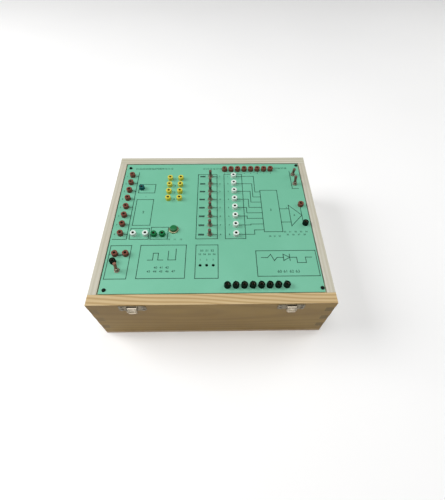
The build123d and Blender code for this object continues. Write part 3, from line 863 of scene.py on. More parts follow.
class Workshop:
    """Holds the trees and the finishes, and hands finished pieces over to the frame."""

    def __init__(self) -> None:
        """Build the trees once for all the pieces."""
        self.spread = spread_tree()
        self.strokes = line_tree()
        self.finishes: dict[str, bpy.types.Material] = {}

    def finish(self, look: Look) -> bpy.types.Material:
        """Give a finish's material, made once.

        Args:
            look: The finish.

        Returns:
            Its material.
        """
        if look.name not in self.finishes:
            self.finishes[look.name] = look.make()
        return self.finishes[look.name]

    def dress(self, node: str, look: Look) -> None:
        """Give a carried-over CAD node its finish.

        Args:
            node: The CAD node's name.
            look: The finish.
        """
        materials = frame["nodes"][node].data.materials
        materials.clear()
        materials.append(self.finish(look))
        log.info("%s keeps its solid and gets %s", node, look.name)

    def hand_over(
        self, obj: bpy.types.Object, body: str, slot: str, nodes: Sequence[str] = ()
    ) -> None:
        """Make a piece ride on its body and stand for its CAD nodes.

        Args:
            obj: The finished piece, at the origin.
            body: The body's name.
            slot: The record's material slot; not used.
            nodes: The CAD nodes that it stands for.
        """
        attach(obj, body)
        if nodes:
            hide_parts(*nodes)
        log.info("%s: %d faces, rides on %s", obj.name, len(obj.data.polygons), body)

    def paint(self, obj: bpy.types.Object, *looks: Look) -> None:
        """Give a piece its materials in order."""
        for look in looks:
            obj.data.materials.append(self.finish(look))

    def ease(
        self, node: str, name: str, width: float, look: Look, body: str, slot: str
    ) -> bpy.types.Object:
        """Put an eased copy of a CAD node in its place, in one finish.

        Args:
            node: The CAD node's name.
            name: The copy's name.
            width: Width of its eased edges in metres, or 0 to leave them sharp.
            look: Its finish.
            body: The body that it rides on.
            slot: The record's material slot; handed on but not used.

        Returns:
            The copy.
        """
        made = eased_copy(node, name, width)
        self.paint(made, look)
        self.hand_over(made, body, slot, [node])
        return made

    def repeat(
        self,
        name: str,
        piece: bpy.types.Mesh,
        spots: Sequence[Vector],
        look: Look,
        turn: float = 0.0,
        seed: int = 1,
    ) -> bpy.types.Object:
        """Set a copy of a piece on every spot with the spreading tree.

        Args:
            name: The new object's name.
            piece: The piece, standing at the origin.
            spots: Where the copies stand.
            look: Their finish.
            turn: The most that a copy turns about Z either way, in radians.
            seed: The seed of the turns.

        Returns:
            One object with all the copies.
        """
        template = new_object(f"{name}_template", piece)
        points = bpy.data.meshes.new(name)
        points.from_pydata([tuple(spot) for spot in spots], [], [])
        made = new_object(name, points)
        self.spread.grow(made, Piece=template, Turn=turn, Seed=seed, Finish=self.finish(look))
        bpy.data.objects.remove(template)
        return made


# Finishes of this object

GOLDEN, BROWN = (0.575, 0.436, 0.235), (0.41, 0.275, 0.115)
PALE, FAWN = (0.57, 0.56, 0.485), (0.45, 0.42, 0.32)
# The front face's colours are a darker, browner copy of the front board's pine: painted shade of
# the face that looks away from the lamps.
SHADE_TAN, SHADE_UMBER = (0.370, 0.240, 0.063), (0.262, 0.158, 0.040)
ASKEW = (0.0, math.radians(1.0), math.radians(-2.5))
END_RINGS = 2.5 * MM
FRONT_BOARD = Timber(
    "Front board pine",
    Grain.ALONG_X,
    GOLDEN,
    BROWN,
    pith=(0.05, -0.215, 0.080),
    ring_pitch=6 * MM,
    askew=ASKEW,
    wander=16.0,
    reach=2.6,
    contrast=1.0,
)
# Painted shade: the front face's darker, browner copy of the front board's pine.
SHADED_FRONT_FACE = Timber(
    "Front face pine, painted shade",
    Grain.ALONG_X,
    SHADE_TAN,
    SHADE_UMBER,
    pith=(0.02, -0.215, 0.085),
    ring_pitch=9 * MM,
    askew=ASKEW,
    wander=14.0,
    reach=3.0,
    contrast=0.45,
)
# End grain of the side boards' fingers on the front face. It is darker than the long grain, and
# darker again than END_GRAIN on the ends as painted shade of the front face.
SHADED_END_GRAIN = Timber(
    "Corner end grain, painted shade",
    Grain.ALONG_Y,
    (0.29, 0.190, 0.058),
    (0.18, 0.110, 0.028),
    pith=(0.1, 0, 0.3),
    ring_pitch=END_RINGS,
)
# Painted shade at the right-hand corner of the front face, darker still than at the left corner.
RIGHT_SHADED_END_GRAIN = Timber(
    "Right corner end grain, painted shade",
    Grain.ALONG_Y,
    (0.245, 0.162, 0.042),
    (0.13, 0.080, 0.020),
    pith=(0.1, 0, 0.3),
    ring_pitch=END_RINGS,
)
BACK_BOARD = Timber(
    "Back board pine", Grain.ALONG_X, (0.56, 0.56, 0.475), (0.44, 0.415, 0.31), (0, 0.240, 0.03)
)
LEFT_BOARD = Timber("Left board pine", Grain.ALONG_Y, PALE, FAWN, (-0.26, 0, 0.05), contrast=0.5)
RIGHT_BOARD = Timber("Right board pine", Grain.ALONG_Y, PALE, FAWN, (0.28, 0, 0.15), contrast=0.5)
END_GRAIN = Timber(
    "End grain pine",
    Grain.ALONG_X,
    (0.46, 0.36, 0.22),
    (0.32, 0.22, 0.11),
    pith=(0, 0.1, 0.3),
    ring_pitch=END_RINGS,
)
POST_PINE = Timber("Post pine", Grain.ALONG_Z, GOLDEN, BROWN, (0.01, 0.02, 0))
BASE_PLY = Layered("Base plywood", (0.66, 0.50, 0.32), (0.42, 0.28, 0.15))
PANEL_GREEN = Laminate("Pale green laminate", (0.155, 0.455, 0.305), (0.170, 0.480, 0.330))
PRINT_GREEN = Ink("Dark green print", (0.010, 0.070, 0.042), (0.022, 0.115, 0.070))
NICKEL = Plated("Nickel plate", (0.66, 0.63, 0.59), (0.42, 0.38, 0.34), 0.30)
SWITCH_NICKEL = Plated("Dull switch nickel", (0.46, 0.38, 0.31), (0.30, 0.24, 0.19), 0.38)
# The latch plates' nickel is darkened and browned to the shade of the front face they sit on:
# painted shade.
SHADED_LATCH_NICKEL = Plated("Latch nickel, painted shade", (0.29, 0.25, 0.18), (0.17, 0.145, 0.10), 0.42)
LEVER_NICKEL = Plated("Worn lever nickel", (0.74, 0.66, 0.53), (0.42, 0.37, 0.29), 0.44)
HINGE_NICKEL = Plated("Worn hinge nickel", (0.60, 0.58, 0.54), (0.38, 0.36, 0.33), 0.34)
PLUG_BRASS = Plated(
    "Dull sleeve brass", (0.22, 0.19, 0.13), (0.13, 0.11, 0.072), 0.50, Grain.ALONG_Z
)
GOLD_BEZEL = Plated("Dull gold bezel", (0.36, 0.37, 0.22), (0.24, 0.25, 0.15), 0.42)
ZINC = Plated("Zinc screw", (0.62, 0.62, 0.60), (0.38, 0.38, 0.36), 0.34)
DULL_ZINC = Plated("Dull fitting screw", (0.40, 0.36, 0.29), (0.24, 0.21, 0.16), 0.42)
BLACK_SCREW = Plated("Blackened screw", (0.012, 0.020, 0.014), (0.03, 0.035, 0.03), 0.46)
DRAWN_WIRE = Plated("Drawn spring wire", (0.55, 0.55, 0.54), (0.35, 0.35, 0.34), 0.3)
HEAD_LOOKS = {
    "red": Moulded("Red socket plastic", (0.172, 0.048, 0.027), 0.34, fade=0.03, shine=0.3),
    "black": Moulded("Black socket plastic", (0.001, 0.010, 0.005), 0.55, fade=0.002, shine=0.06),
    "white": Moulded("White socket plastic", (0.68, 0.78, 0.72), fade=0.08),
    "yellow": Moulded("Yellow socket plastic", (0.62, 0.56, 0.03)),
    "green": Moulded("Green socket plastic", (0.002, 0.155, 0.045), 0.4, fade=0.01, shine=0.2),
    "blue": Moulded("Blue socket plastic", (0.001, 0.085, 0.088), fade=0.01, shine=0.25),
}
BROWN_CAP = Moulded("Brown lever cap", (0.140, 0.070, 0.048), 0.42, fade=0.04, shine=0.25)
LIGHT_CAP = Moulded("Light brown lever cap", (0.24, 0.105, 0.066), 0.42, fade=0.04, shine=0.25)
BUTTON_GREEN = Moulded("Green button", (0.008, 0.150, 0.045), 0.36, fade=0.04, shine=0.35)
SWITCH_BLACK = Moulded("Switch body plastic", (0.03, 0.03, 0.03), 0.5)
INLET_BLACK = Moulded(
    "Inlet plastic", (0.012, 0.012, 0.012), 0.42, grain=2200, depth=0.012 * MM, fade=0.04
)
BOARD_GREEN = Laminate("Circuit board green", (0.02, 0.14, 0.06), (0.03, 0.18, 0.08))
CHIP_BLACK = Moulded("Chip plastic", (0.02, 0.02, 0.02), 0.55)
CAN_SLEEVE = Moulded("Capacitor sleeve", (0.02, 0.03, 0.10), 0.35)
HEATSINK_BLACK = Plated("Black anodised heatsink", (0.03, 0.03, 0.03), (0.06, 0.06, 0.06), 0.5)
CORE_IRON = Plated("Lacquered core", (0.22, 0.21, 0.20), (0.12, 0.11, 0.10), 0.45)
WINDING_TAPE = Moulded("Winding tape", (0.62, 0.44, 0.08), 0.4)
PILLAR_BRASS = Plated("Turned pillar brass", (0.72, 0.58, 0.28), (0.48, 0.36, 0.16), 0.28)


# The object's sub-assemblies


@dataclass
class Case:
    """The wooden case: four finger-jointed boards on a plywood base."""

    shop: Workshop
    ease: float = 0.45 * MM
    square: float = 0.8  # least part of a face's normal along an axis, for a face square to it

    def board(self, node: str, faces: Sequence[tuple[Vector, Timber]], look: Timber) -> None:
        """Ease one board and dress it, with other finishes on the faces that look a given way.

        Args:
            node: The CAD node's name.
            faces: Directions with the finish of the faces that look that way.
            look: The finish of the rest.
        """
        made = eased_copy(node, f"{node}_eased", self.ease)
        self.shop.paint(made, look, *(finish for _, finish in faces))
        for face in made.data.polygons:
            for index, (direction, _) in enumerate(faces, 1):
                if face.normal.dot(direction) > self.square:
                    face.material_index = index
        self.shop.hand_over(made, CASE, "box_wood", [node])

    def build(self) -> None:
        """Ease and dress every board."""
        left, right, front, back = (
            Vector(way) for way in ((-1, 0, 0), (1, 0, 0), (0, -1, 0), (0, 1, 0))
        )
        ends = [(left, END_GRAIN), (right, END_GRAIN)]
        # The front face gets the front board's pine darkened and browned: painted shade.
        self.board("front_board", [*ends, (front, SHADED_FRONT_FACE)], FRONT_BOARD)
        self.board("back_board", ends, BACK_BOARD)
        # The side boards' finger ends on the front face carry painted shade, darkest at the
        # right-hand corner. Their back faces take the left corner's shaded end grain.
        for node, grain, look in (
            ("left_board", SHADED_END_GRAIN, LEFT_BOARD),
            ("right_board", RIGHT_SHADED_END_GRAIN, RIGHT_BOARD),
        ):
            self.board(node, [(front, grain), (back, SHADED_END_GRAIN)], look)
        self.shop.ease("base_board", "base_board_eased", self.ease, BASE_PLY, CASE, "plywood")
        self.shop.dress("corner_posts", POST_PINE)
        self.shop.dress("base_screws", ZINC)


@dataclass
class Panel:
    """The printed panel with its corner screws."""

    shop: Workshop
    ease: float = 0.2 * MM
    line_width: float = 1.25 * MM
    ink: float = 0.05 * MM
    dash_width: float = 4.0 * MM
    digit_height: float = 3.4 * MM
    font_scale: float = 1.35  # a font's size over the height of its figures
    weight: float = 0.09 * MM
    curve_steps: int = 3
    weld: float = 0.001 * MM  # corners of figures closer than this are one
    near: float = 3.0  # how far, in millimetres, a piece's middle may lie from its line
    strokes: list[tuple[Point, Point]] = field(default_factory=list)
    dashes: list[tuple[Point, Point]] = field(default_factory=list)
    digits: list[tuple[str, Point, float]] = field(default_factory=list)

    def __post_init__(self) -> None:
        """Read the panel's face from the frame."""
        self.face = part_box("panel")[1].z

    def line(self, *points: Point) -> None:
        """Print a line through points given in millimetres."""
        self.strokes += list(zip(points, points[1:]))

    def frame_round(self, left: float, front: float, right: float, back: float) -> None:
        """Print a rectangle, given in millimetres."""
        self.line((left, front), (right, front), (right, back), (left, back), (left, front))

    def number(self, text: str, x: float, y: float, size: float = 1.0) -> None:
        """Print a number with its middle at a place in millimetres."""
        self.digits.append((text, (x, y), size))

    def row_of_numbers(
        self, first: int, count: int, left: float, right: float, y: float, size: float = 1.0
    ) -> None:
        """Print a row of two-figure numbers, evenly spaced from one place to another.

        Args:
            first: The row's first number.
            count: How many numbers there are.
            left: The first number's place across the panel, in millimetres.
            right: The last number's place.
            y: The row's place along Y, in millimetres.
            size: The figures' size, as a share of the usual one.
        """
        for i in range(count):
            self.number(f"{first + i:02d}", left + (right - left) * i / (count - 1), y, size)

    def rows(self, node: str, x: float) -> list[float]:
        """Where a column's pieces stand along Y.

        Args:
            node: The CAD node that holds the pieces.
            x: The column's place across the panel, in millimetres.

        Returns:
            Their places in millimetres, from the back to the front.
        """
        middles = [place.centre for place in places_of(node)]
        return [middle.y / MM for middle in middles if abs(middle.x / MM - x) < self.near]

    def columns(self, node: str, y: float) -> list[float]:
        """Where a row's pieces stand across the panel.

        Args:
            node: The CAD node that holds the pieces.
            y: The row's place along Y, in millimetres.

        Returns:
            Their places in millimetres, from left to right.
        """
        middles = [place.centre for place in places_of(node)]
        return [middle.x / MM for middle in middles if abs(middle.y / MM - y) < self.near]

    def left_blocks(self) -> None:
        """Print the blocks round the left-hand sockets."""
        column_x, box_right, box_front = -152.9, -141.8, -41.8
        rows = self.rows("red_socket_heads", column_x)
        self.line((box_right, rows[0] + 10), (box_right, box_front), (-165, box_front))
        for number, y in enumerate(rows, 1):
            self.line((column_x + 4, y), (box_right, y))
            self.number(str(number), -163.2, y)
        self.frame_round(-136.4, 64, -106.6, 86.2)
        self.frame_round(-136.4, -12.5, -106.6, 47.4)
        self.frame_round(-137.4, -42, -106.0, -19.3)
        self.frame_round(-103.0, -42.2, -74.4, -17)
        self.number("1", -121.5, 54.6)
        self.number("2", -121.5, 17.0, 1.6)
        self.row_of_numbers(1, 12, -147, -80, 129, 1.25)
        self.row_of_numbers(10, 3, -72, -52, -43, 0.9)
        for number, y in enumerate(self.rows("yellow_socket_heads", -80), 1):
            self.number(str(number), -70, y)

    def middle_blocks(self) -> None:
        """Print the blocks round the toggles and the white sockets."""
        toggle_x, toggle_right, white_x, white_right = -4.2, 8.3, 39.6, 55.5
        rows = self.rows("toggle_bushings", toggle_x)
        self.frame_round(-27.4, -42.2, toggle_right, 112.3)
        for number, y in enumerate(rows, 1):
            self.dashes.append(((-21.8, y), (-15.8, y)))
            self.line((toggle_x + 4, y), (toggle_right, y))
            self.number(str(number), 13.5, y)
        self.frame_round(21.6, -42.4, white_right, 112.5)
        block_left, block_pitch, block_middle = 87.5, 12.7, 20.2
        self.frame_round(block_left, -28.4, 118.6, 68.8)
        for i, y in enumerate(rows):
            self.number(str(i + 1), 28.6, y)
            self.line((white_x + 4, y), (white_right, y))
            # Down to the fifth each lead turns further left, and from the sixth on further right
            step_x = 78 - 4.4 * i if i < 5 else 60.4 + 5.3 * (i - 5)
            level = block_middle + (3.5 - i) * block_pitch
            self.line((white_right, y), (step_x, y), (step_x, level), (block_left, level))
        self.number("3", 103, block_middle, 1.6)
        self.row_of_numbers(13, 6, -17, 15, 128, 1.2)
        self.row_of_numbers(20, 3, 96, 112, -38, 0.9)

    def right_blocks(self) -> None:
        """Print the output stage and the upper right block."""
        block_right, stage_left, stage_right, middle = 118.6, 135.4, 156.2, 7.6
        top, low, tip = (stage_left, 31.4), (stage_left, -16.2), (stage_right, middle)
        self.line((block_right, 22.7), (stage_left, 22.7))
        self.line((block_right, -7.6), (stage_left, -7.6))
        self.line(top, low, tip, top)
        self.line((stage_right, 25), (stage_right, -9.6))
        self.line((148.8, 121), (148.8, 73), (160.4, 73))
        self.number("+", 131.5, 26.0)
        self.number("4", 143, middle, 1.3)
        self.row_of_numbers(24, 5, 117, 142, 129, 1.2)
        self.row_of_numbers(30, 5, 122, 158, -29, 0.9)
        self.row_of_numbers(35, 4, 126, 154, -35, 0.9)

    def front_blocks(self) -> None:
        """Print the blocks along the front."""
        self.frame_round(-164.4, -116.5, -130.9, -54.6)
        self.line((-151, -73.8), (-141, -73.8))
        self.frame_round(-115.9, -116.2, -42.2, -54.4)
        self.line((-102, -83), (-94, -83), (-94, -70), (-86, -70), (-86, -83), (-78, -83))
        self.line((-70, -66), (-70, -83), (-58, -83), (-58, -62))
        self.row_of_numbers(40, 3, -88, -70, -97, 1.2)
        self.row_of_numbers(43, 5, -98, -60, -104, 1.2)
        self.frame_round(-26.5, -116.8, 9.2, -54.6)
        for number, x in enumerate(self.columns("pin_sockets", -93.5), 1):
            self.number(str(number), x, -83.4, 0.9)
        self.row_of_numbers(50, 3, -17, 0, -66, 1.2)
        self.row_of_numbers(53, 4, -20, 3, -73, 1.0)
        self.frame_round(69.8, -114.1, 165.4, -67.0)
        self.line((78, -80), (88, -80), (93, -74), (98, -86), (103, -80), (113, -80))
        self.line((113, -74), (113, -86), (123, -80), (113, -74))
        self.line((123, -74), (123, -86))
        self.line((123, -80), (134, -80), (134, -90), (148, -90), (148, -80), (158, -80))
        self.row_of_numbers(60, 4, 104, 132, -106, 1.5)
        for number, x in enumerate(self.columns("black_socket_heads", -130.2), 1):
            self.number(str(number), x, -122.6, 0.9)
        for number, x in enumerate(self.columns("red_socket_heads", 123.8), 1):
            self.number(str(number), x, 115.4, 0.9)

    def stroke_mesh(
        self, name: str, runs: Iterable[tuple[Point, Point]], width: float
    ) -> bpy.types.Object:
        """Make printed strokes from their middle lines.

        Args:
            name: The object's name.
            runs: Pairs of points in millimetres.
            width: The strokes' width in metres.

        Returns:
            One object with all the strokes.
        """
        corners, edges = [], []
        height = self.face + self.ink / 2
        for (x0, y0), (x1, y1) in runs:
            start, end = Vector((x0 * MM, y0 * MM, height)), Vector((x1 * MM, y1 * MM, height))
            reach = (end - start).normalized() * width / 2
            edges.append((len(corners), len(corners) + 1))
            corners += [tuple(start - reach), tuple(end + reach)]
        mesh = bpy.data.meshes.new(name)
        mesh.from_pydata(corners, edges, [])
        made = new_object(name, mesh)
        return self.shop.strokes.grow(
            made, Width=width, Thickness=self.ink, Finish=self.shop.finish(PRINT_GREEN)
        )

    def number_mesh(self, name: str) -> bpy.types.Object:
        """Make the printed numbers as one flat mesh of the ink's thickness.

        Args:
            name: The object's name.

        Returns:
            The object.
        """
        bm = bmesh.new()
        for text, (x, y), size in self.digits:
            curve = bpy.data.curves.new("digit", "FONT")
            curve.body = text
            curve.size = self.digit_height * size * self.font_scale
            curve.align_x, curve.align_y = "CENTER", "CENTER"
            curve.extrude = self.ink / 2
            curve.offset = self.weight
            curve.resolution_u = self.curve_steps
            letter = new_object("digit", curve)
            graph = bpy.context.evaluated_depsgraph_get()
            mesh = bpy.data.meshes.new_from_object(letter.evaluated_get(graph))
            mesh.transform(Matrix.Translation((x * MM, y * MM, self.face + self.ink / 2)))
            bm.from_mesh(mesh)
            bpy.data.objects.remove(letter)
            bpy.data.curves.remove(curve)
            bpy.data.meshes.remove(mesh)
        bmesh.ops.remove_doubles(bm, verts=bm.verts, dist=self.weld)
        bmesh.ops.recalc_face_normals(bm, faces=bm.faces)
        joined = bpy.data.meshes.new(name)
        bm.to_mesh(joined)
        bm.free()
        return new_object(name, joined)

    def build(self) -> None:
        """Ease the sheet, print it and dress its screws."""
        self.shop.ease("panel", "panel_sheet", self.ease, PANEL_GREEN, CASE, "panel_laminate")
        self.left_blocks()
        self.middle_blocks()
        self.right_blocks()
        self.front_blocks()
        for name, runs, width in (
            ("panel_lines", self.strokes, self.line_width),
            ("panel_dashes", self.dashes, self.dash_width),
        ):
            self.shop.hand_over(self.stroke_mesh(name, runs, width), CASE, "panel_laminate")
        numbers = self.number_mesh("panel_numbers")
        self.shop.paint(numbers, PRINT_GREEN)
        self.shop.hand_over(numbers, CASE, "panel_laminate")
        self.shop.ease("panel_screws", "panel_screws_eased", 0.0, BLACK_SCREW, CASE, "black_screw")


@dataclass
class Sockets:
    """The plug sockets: a coloured head round a plated sleeve, and the small flush pin sockets."""

    shop: Workshop
    head_radius: float = 5.0 * MM
    head_height: float = 7.0 * MM
    shank_radius: float = 3.5 * MM
    shank_length: float = 9.0 * MM
    bore_radius: float = 2.0 * MM
    bore_depth: float = 18.7 * MM
    sleeve_radius: float = 2.6 * MM
    sleeve_length: float = 20.2 * MM
    lip_drop: float = 0.8 * MM
    lip_radius: float = 2.25 * MM
    lip_edge: float = 0.7 * MM
    edge: float = 0.9 * MM
    foot: float = 0.15 * MM
    segments: int = 36
    pin_radius: float = 1.9 * MM
    pin_length: float = 9.0 * MM
    pin_bore_radius: float = 1.0 * MM
    pin_bore_depth: float = 6.6 * MM
    pin_rim_radius: float = 2.3 * MM
    pin_rim_height: float = 0.4 * MM
    pin_segments: int = 24

    def head(self) -> bpy.types.Mesh:
        """Turn one head, standing on the panel's face at height 0.

        Returns:
            The head's mesh.
        """
        top, outer, foot = self.head_height, self.head_radius, self.foot
        seat, lip = top - self.lip_drop, self.lip_radius + self.lip_edge
        outline = [
            (self.sleeve_radius, -self.shank_length),
            (self.shank_radius, -self.shank_length),
            (self.shank_radius, 0.0),
            (outer - foot, 0.0),
            (outer, foot),
            *round_corner((outer - self.edge, top - self.edge), 0, 90, self.edge, 5),
            (lip, top),
            *round_corner((lip, top - self.lip_edge), 100, 180, self.lip_edge, 3),
            (self.lip_radius, seat),
            (self.sleeve_radius, seat),
        ]
        return lathe("socket_head", outline, self.segments)

    def sleeve(self, place: Place, panel_face: float) -> bpy.types.Mesh:
        """Turn one sleeve with its blind bore.

        Args:
            place: Where the CAD's sleeve is, for the height of its mouth.
            panel_face: The height of the panel's face.

        Returns:
            The sleeve's mesh, with the panel's face at height 0.
        """
        top = place.high.z - panel_face
        bottom, floor = top - self.sleeve_length, top - self.bore_depth
        outline = [
            (0.0, bottom),
            (self.sleeve_radius, bottom),
            (self.sleeve_radius, top - 0.1 * MM),
            (self.sleeve_radius - 0.1 * MM, top),
            (self.bore_radius + 0.2 * MM, top),
            (self.bore_radius, top - 0.2 * MM),
            (self.bore_radius, floor),
            (0.0, floor),
        ]
        return lathe("socket_sleeve", outline, self.segments)

    def pin_socket(self) -> bpy.types.Mesh:
        """Turn one flush pin socket.

        Returns:
            Its mesh, with the panel's face at height 0.
        """
        rim, top, foot, bore = (
            self.pin_rim_radius, self.pin_rim_height, self.foot, self.pin_bore_radius
        )
        outline = [
            (0.0, -self.pin_length),
            (self.pin_radius, -self.pin_length),
            (self.pin_radius, 0.0),
            (rim, 0.0),
            (rim, top - foot),
            (rim - foot, top),
            (bore + foot, top),
            (bore, top - foot),
            (bore, -self.pin_bore_depth),
            (0.0, -self.pin_bore_depth),
        ]
        return lathe("pin_socket", outline, self.pin_segments)

    def build(self) -> None:
        """Set the sockets of every colour in place."""
        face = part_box("panel")[1].z
        head = self.head()
        for seed, (colour, look) in enumerate(HEAD_LOOKS.items(), 1):
            node = f"{colour}_socket_heads"
            spots = spots_on(node, face)
            heads = self.shop.repeat(f"{colour}_heads", head.copy(), spots, look, math.pi, seed)
            self.shop.hand_over(heads, CASE, f"{colour}_plastic", [node])
        sleeve = self.sleeve(places_of("socket_sleeves")[0], face)
        for name, piece, node, look in (
            ("plug_sleeves", sleeve, "socket_sleeves", PLUG_BRASS),
            ("pin_jacks", self.pin_socket(), "pin_sockets", HEAD_LOOKS["black"]),
        ):
            made = self.shop.repeat(name, piece, spots_on(node, face), look)
            self.shop.hand_over(made, CASE, "plated_brass", [node])
        self.shop.dress("socket_nuts", NICKEL)


@dataclass
class Toggles:
    """The toggle switches: a threaded bushing, a hexagon nut and a capped lever each."""

    shop: Workshop
    bushing_radius: float = 3.0 * MM
    bushing_height: float = 6.5 * MM
    bushing_depth: float = 3.0 * MM
    bore_radius: float = 2.4 * MM
    neck_radius: float = 1.6 * MM
    pivot_height: float = 3.5 * MM
    nut_flats: float = 8.0 * MM
    nut_height: float = 2.0 * MM
    thread_pitch: float = 0.75 * MM
    thread_depth: float = 0.22 * MM
    lever_length: float = 18.0 * MM
    cap_start: float = 7.4 * MM
    tail_drop: float = 4.5 * MM
    tail_radius: float = 0.8 * MM
    stem_radius: float = 1.1 * MM
    throw: float = 13.0  # how far a lever leans either way, in degrees
    segments: int = 24

    def bushing(self) -> bpy.types.Mesh:
        """Turn a bushing with the ridges of its thread.

        Returns:
            The bushing's mesh, with the panel's face at height 0.
        """
        seat = self.pivot_height + self.bore_radius * math.sqrt(2)
        outer, bore, pitch = self.bushing_radius, self.bore_radius, self.thread_pitch
        height = self.nut_height
        outline: list[Point] = [
            (bore, -self.bushing_depth),
            (outer, -self.bushing_depth),
            (outer, height),
        ]
        while height + pitch < self.bushing_height - 0.2 * MM:
            outline.append((outer - self.thread_depth, height + pitch / 2))
            height += pitch
            outline.append((outer, height))
        outline += [
            (outer - 0.25 * MM, self.bushing_height),
            (bore, self.bushing_height),
            (self.neck_radius, seat - self.neck_radius),
            (bore, seat - bore),
        ]
        return lathe("toggle_bushing", outline, self.segments)

    def nut(self) -> bpy.types.Mesh:
        """Make a hexagon nut with its upper corners turned off.

        Returns:
            The nut's mesh, standing at height 0.
        """
        half, top, bore = self.nut_flats / 2, self.nut_height, self.bushing_radius
        outline = [
            (bore, 0.0),
            (half, 0.0),
            (half, top - 0.4 * MM),
            (half * 1.04, top - 0.3 * MM),
            (half, top),
            (bore, top),
        ]
        sided = [False, True, True, False, False, False]
        return lathe("toggle_nut", outline, self.segments, sided)

    def lever(self, name: str) -> bpy.types.Mesh:
        """Turn an upright lever: a plated stem with its ball, under a moulded cap.

        Args:
            name: The mesh's name.

        Returns:
            The lever's mesh; slot 0 is the stem and slot 1 the cap.
        """
        top, pivot, cap = self.lever_length, self.pivot_height, self.cap_start
        ball = self.bore_radius - 0.05 * MM
        outline = [
            (0.0, pivot - self.tail_drop),
            (self.tail_radius, pivot - self.tail_drop),
            *round_corner((0.0, pivot), -70, 62, ball, 10),
            (self.stem_radius, cap),
            (1.7 * MM, cap + 0.15 * MM),
            (2.3 * MM, cap + 0.9 * MM),
            (2.7 * MM, top - 1.7 * MM),
            *round_corner((1.3 * MM, top - 1.5 * MM), 10, 84, 1.45 * MM, 5),
            (0.0, top),
        ]
        mesh = lathe(name, outline, self.segments)
        for face in mesh.polygons:
            face.material_index = int(face.center.z > cap)
        return mesh

    def build(self) -> None:
        """Set every switch in place, each lever on its own body."""
        spots = spots_on("toggle_bushings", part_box("panel")[1].z)
        for name, piece, seed, node in (
            ("threaded_bushings", self.bushing(), 3, "toggle_bushings"),
            ("hexagon_nuts", self.nut(), 11, "toggle_nuts"),
        ):
            made = self.shop.repeat(name, piece, spots, SWITCH_NICKEL, math.pi, seed)
            self.shop.hand_over(made, CASE, "switch_metal", [node])
        self.shop.dress("toggle_bodies", SWITCH_BLACK)
        self.shop.dress("switch_terminals", NICKEL)
        for joint in frame["joints"]:
            if joint["name"].endswith("_throw"):
                self.place_lever(joint)

    def place_lever(self, joint: dict) -> None:
        """Set one lever on its pivot, leaning the way its joint says.

        Args:
            joint: The lever's joint, from the frame.
        """
        stem = joint["name"].removesuffix("_throw")
        lean = Lean.FRONT if joint["range_deg"][0] < 0 else Lean.BACK
        pivot = Vector(joint["pos_m"])
        mesh = self.lever(f"{stem}_bat")
        down = Matrix.Translation((0, 0, -self.pivot_height))
        tilt = Matrix.Rotation(math.radians(-lean.value * self.throw), 4, "X")
        mesh.transform(Matrix.Translation(pivot) @ tilt @ down)
        lever = new_object(f"{stem}_bat", mesh)
        cap = LIGHT_CAP if stem.endswith("lower_left") else BROWN_CAP
        self.shop.paint(lever, SWITCH_NICKEL, cap)
        slot = "lever_maroon" if stem[-1].isdigit() else "lever_orange"
        self.shop.hand_over(lever, joint["child"], slot, [f"{stem}_lever"])


@dataclass
class PushButton:
    """The round push button: a domed cap in a bright bezel."""

    shop: Workshop
    cap_radius: float = 6.0 * MM
    cap_top: float = 6.5 * MM
    cap_depth: float = 5.0 * MM
    flange_radius: float = 6.5 * MM
    flange_depth: float = 3.2 * MM
    bezel_radius: float = 8.5 * MM
    bezel_height: float = 2.3 * MM
    barrel_radius: float = 7.4 * MM
    barrel_length: float = 12.0 * MM
    clearance: float = 0.08 * MM
    travel: float = 3.0 * MM
    segments: int = 48

    def cap(self) -> bpy.types.Mesh:
        """Turn the cap with its shallow dome.

        Returns:
            The cap's mesh, with the panel's face at height 0.
        """
        radius, top = self.cap_radius, self.cap_top
        outline = [
            (0.0, -self.cap_depth),
            (self.flange_radius, -self.cap_depth),
            (self.flange_radius, -self.flange_depth),
            (radius, -self.flange_depth),
            (radius, top - 1.4 * MM),
            *round_corner((radius - 0.8 * MM, top - 1.35 * MM), 5, 68, 0.8 * MM, 4),
            (radius * 0.72, top - 0.32 * MM),
            (radius * 0.45, top - 0.10 * MM),
            (0.0, top),
        ]
        return lathe("button_dome", outline, self.segments)

    def bezel(self) -> bpy.types.Mesh:
        """Turn the bezel and the barrel below it.

        Returns:
            The bezel's mesh, with the panel's face at height 0.
        """
        outer, top, spare = self.bezel_radius, self.bezel_height, self.clearance
        bore, wide = self.cap_radius + spare, self.flange_radius + spare
        shoulder = spare - self.flange_depth
        outline = [
            (wide, -self.barrel_length),
            (self.barrel_radius, -self.barrel_length),
            (self.barrel_radius, 0.0),
            (outer, 0.0),
            (outer, 0.5 * MM),
            *round_corner((outer - 1.2 * MM, top - 1.2 * MM), 10, 90, 1.2 * MM, 5),
            (bore + 0.25 * MM, top),
            (bore, top - 0.25 * MM),
            (bore, shoulder),
            (wide, shoulder),
        ]
        return lathe("button_ring", outline, self.segments)

    def build(self) -> None:
        """Set the cap and the bezel in place and dress the rest."""
        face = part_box("panel")[1].z
        middle = places_of("button_bezel")[0].centre
        place = Matrix.Translation((middle.x, middle.y, face))
        for name, mesh, look, body, slot, node in (
            ("button_dome", self.cap(), BUTTON_GREEN, "button", "button_plastic", "button_cap"),
            ("button_ring", self.bezel(), GOLD_BEZEL, CASE, "button_metal", "button_bezel"),
        ):
            mesh.transform(place)
            piece = new_object(name, mesh)
            self.shop.paint(piece, look)
            self.shop.hand_over(piece, body, slot, [node])
        self.shop.dress("button_base", SWITCH_BLACK)
        self.shop.dress("button_nut", NICKEL)
        self.spring()

    def spring(self) -> None:
        """Dress the coil spring and give it a mesh of its own.
        """
        coil = self.shop.ease(
            "button_spring", "button_coil", 0.0, DRAWN_WIRE, CASE, "spring_steel"
        )
        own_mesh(coil)


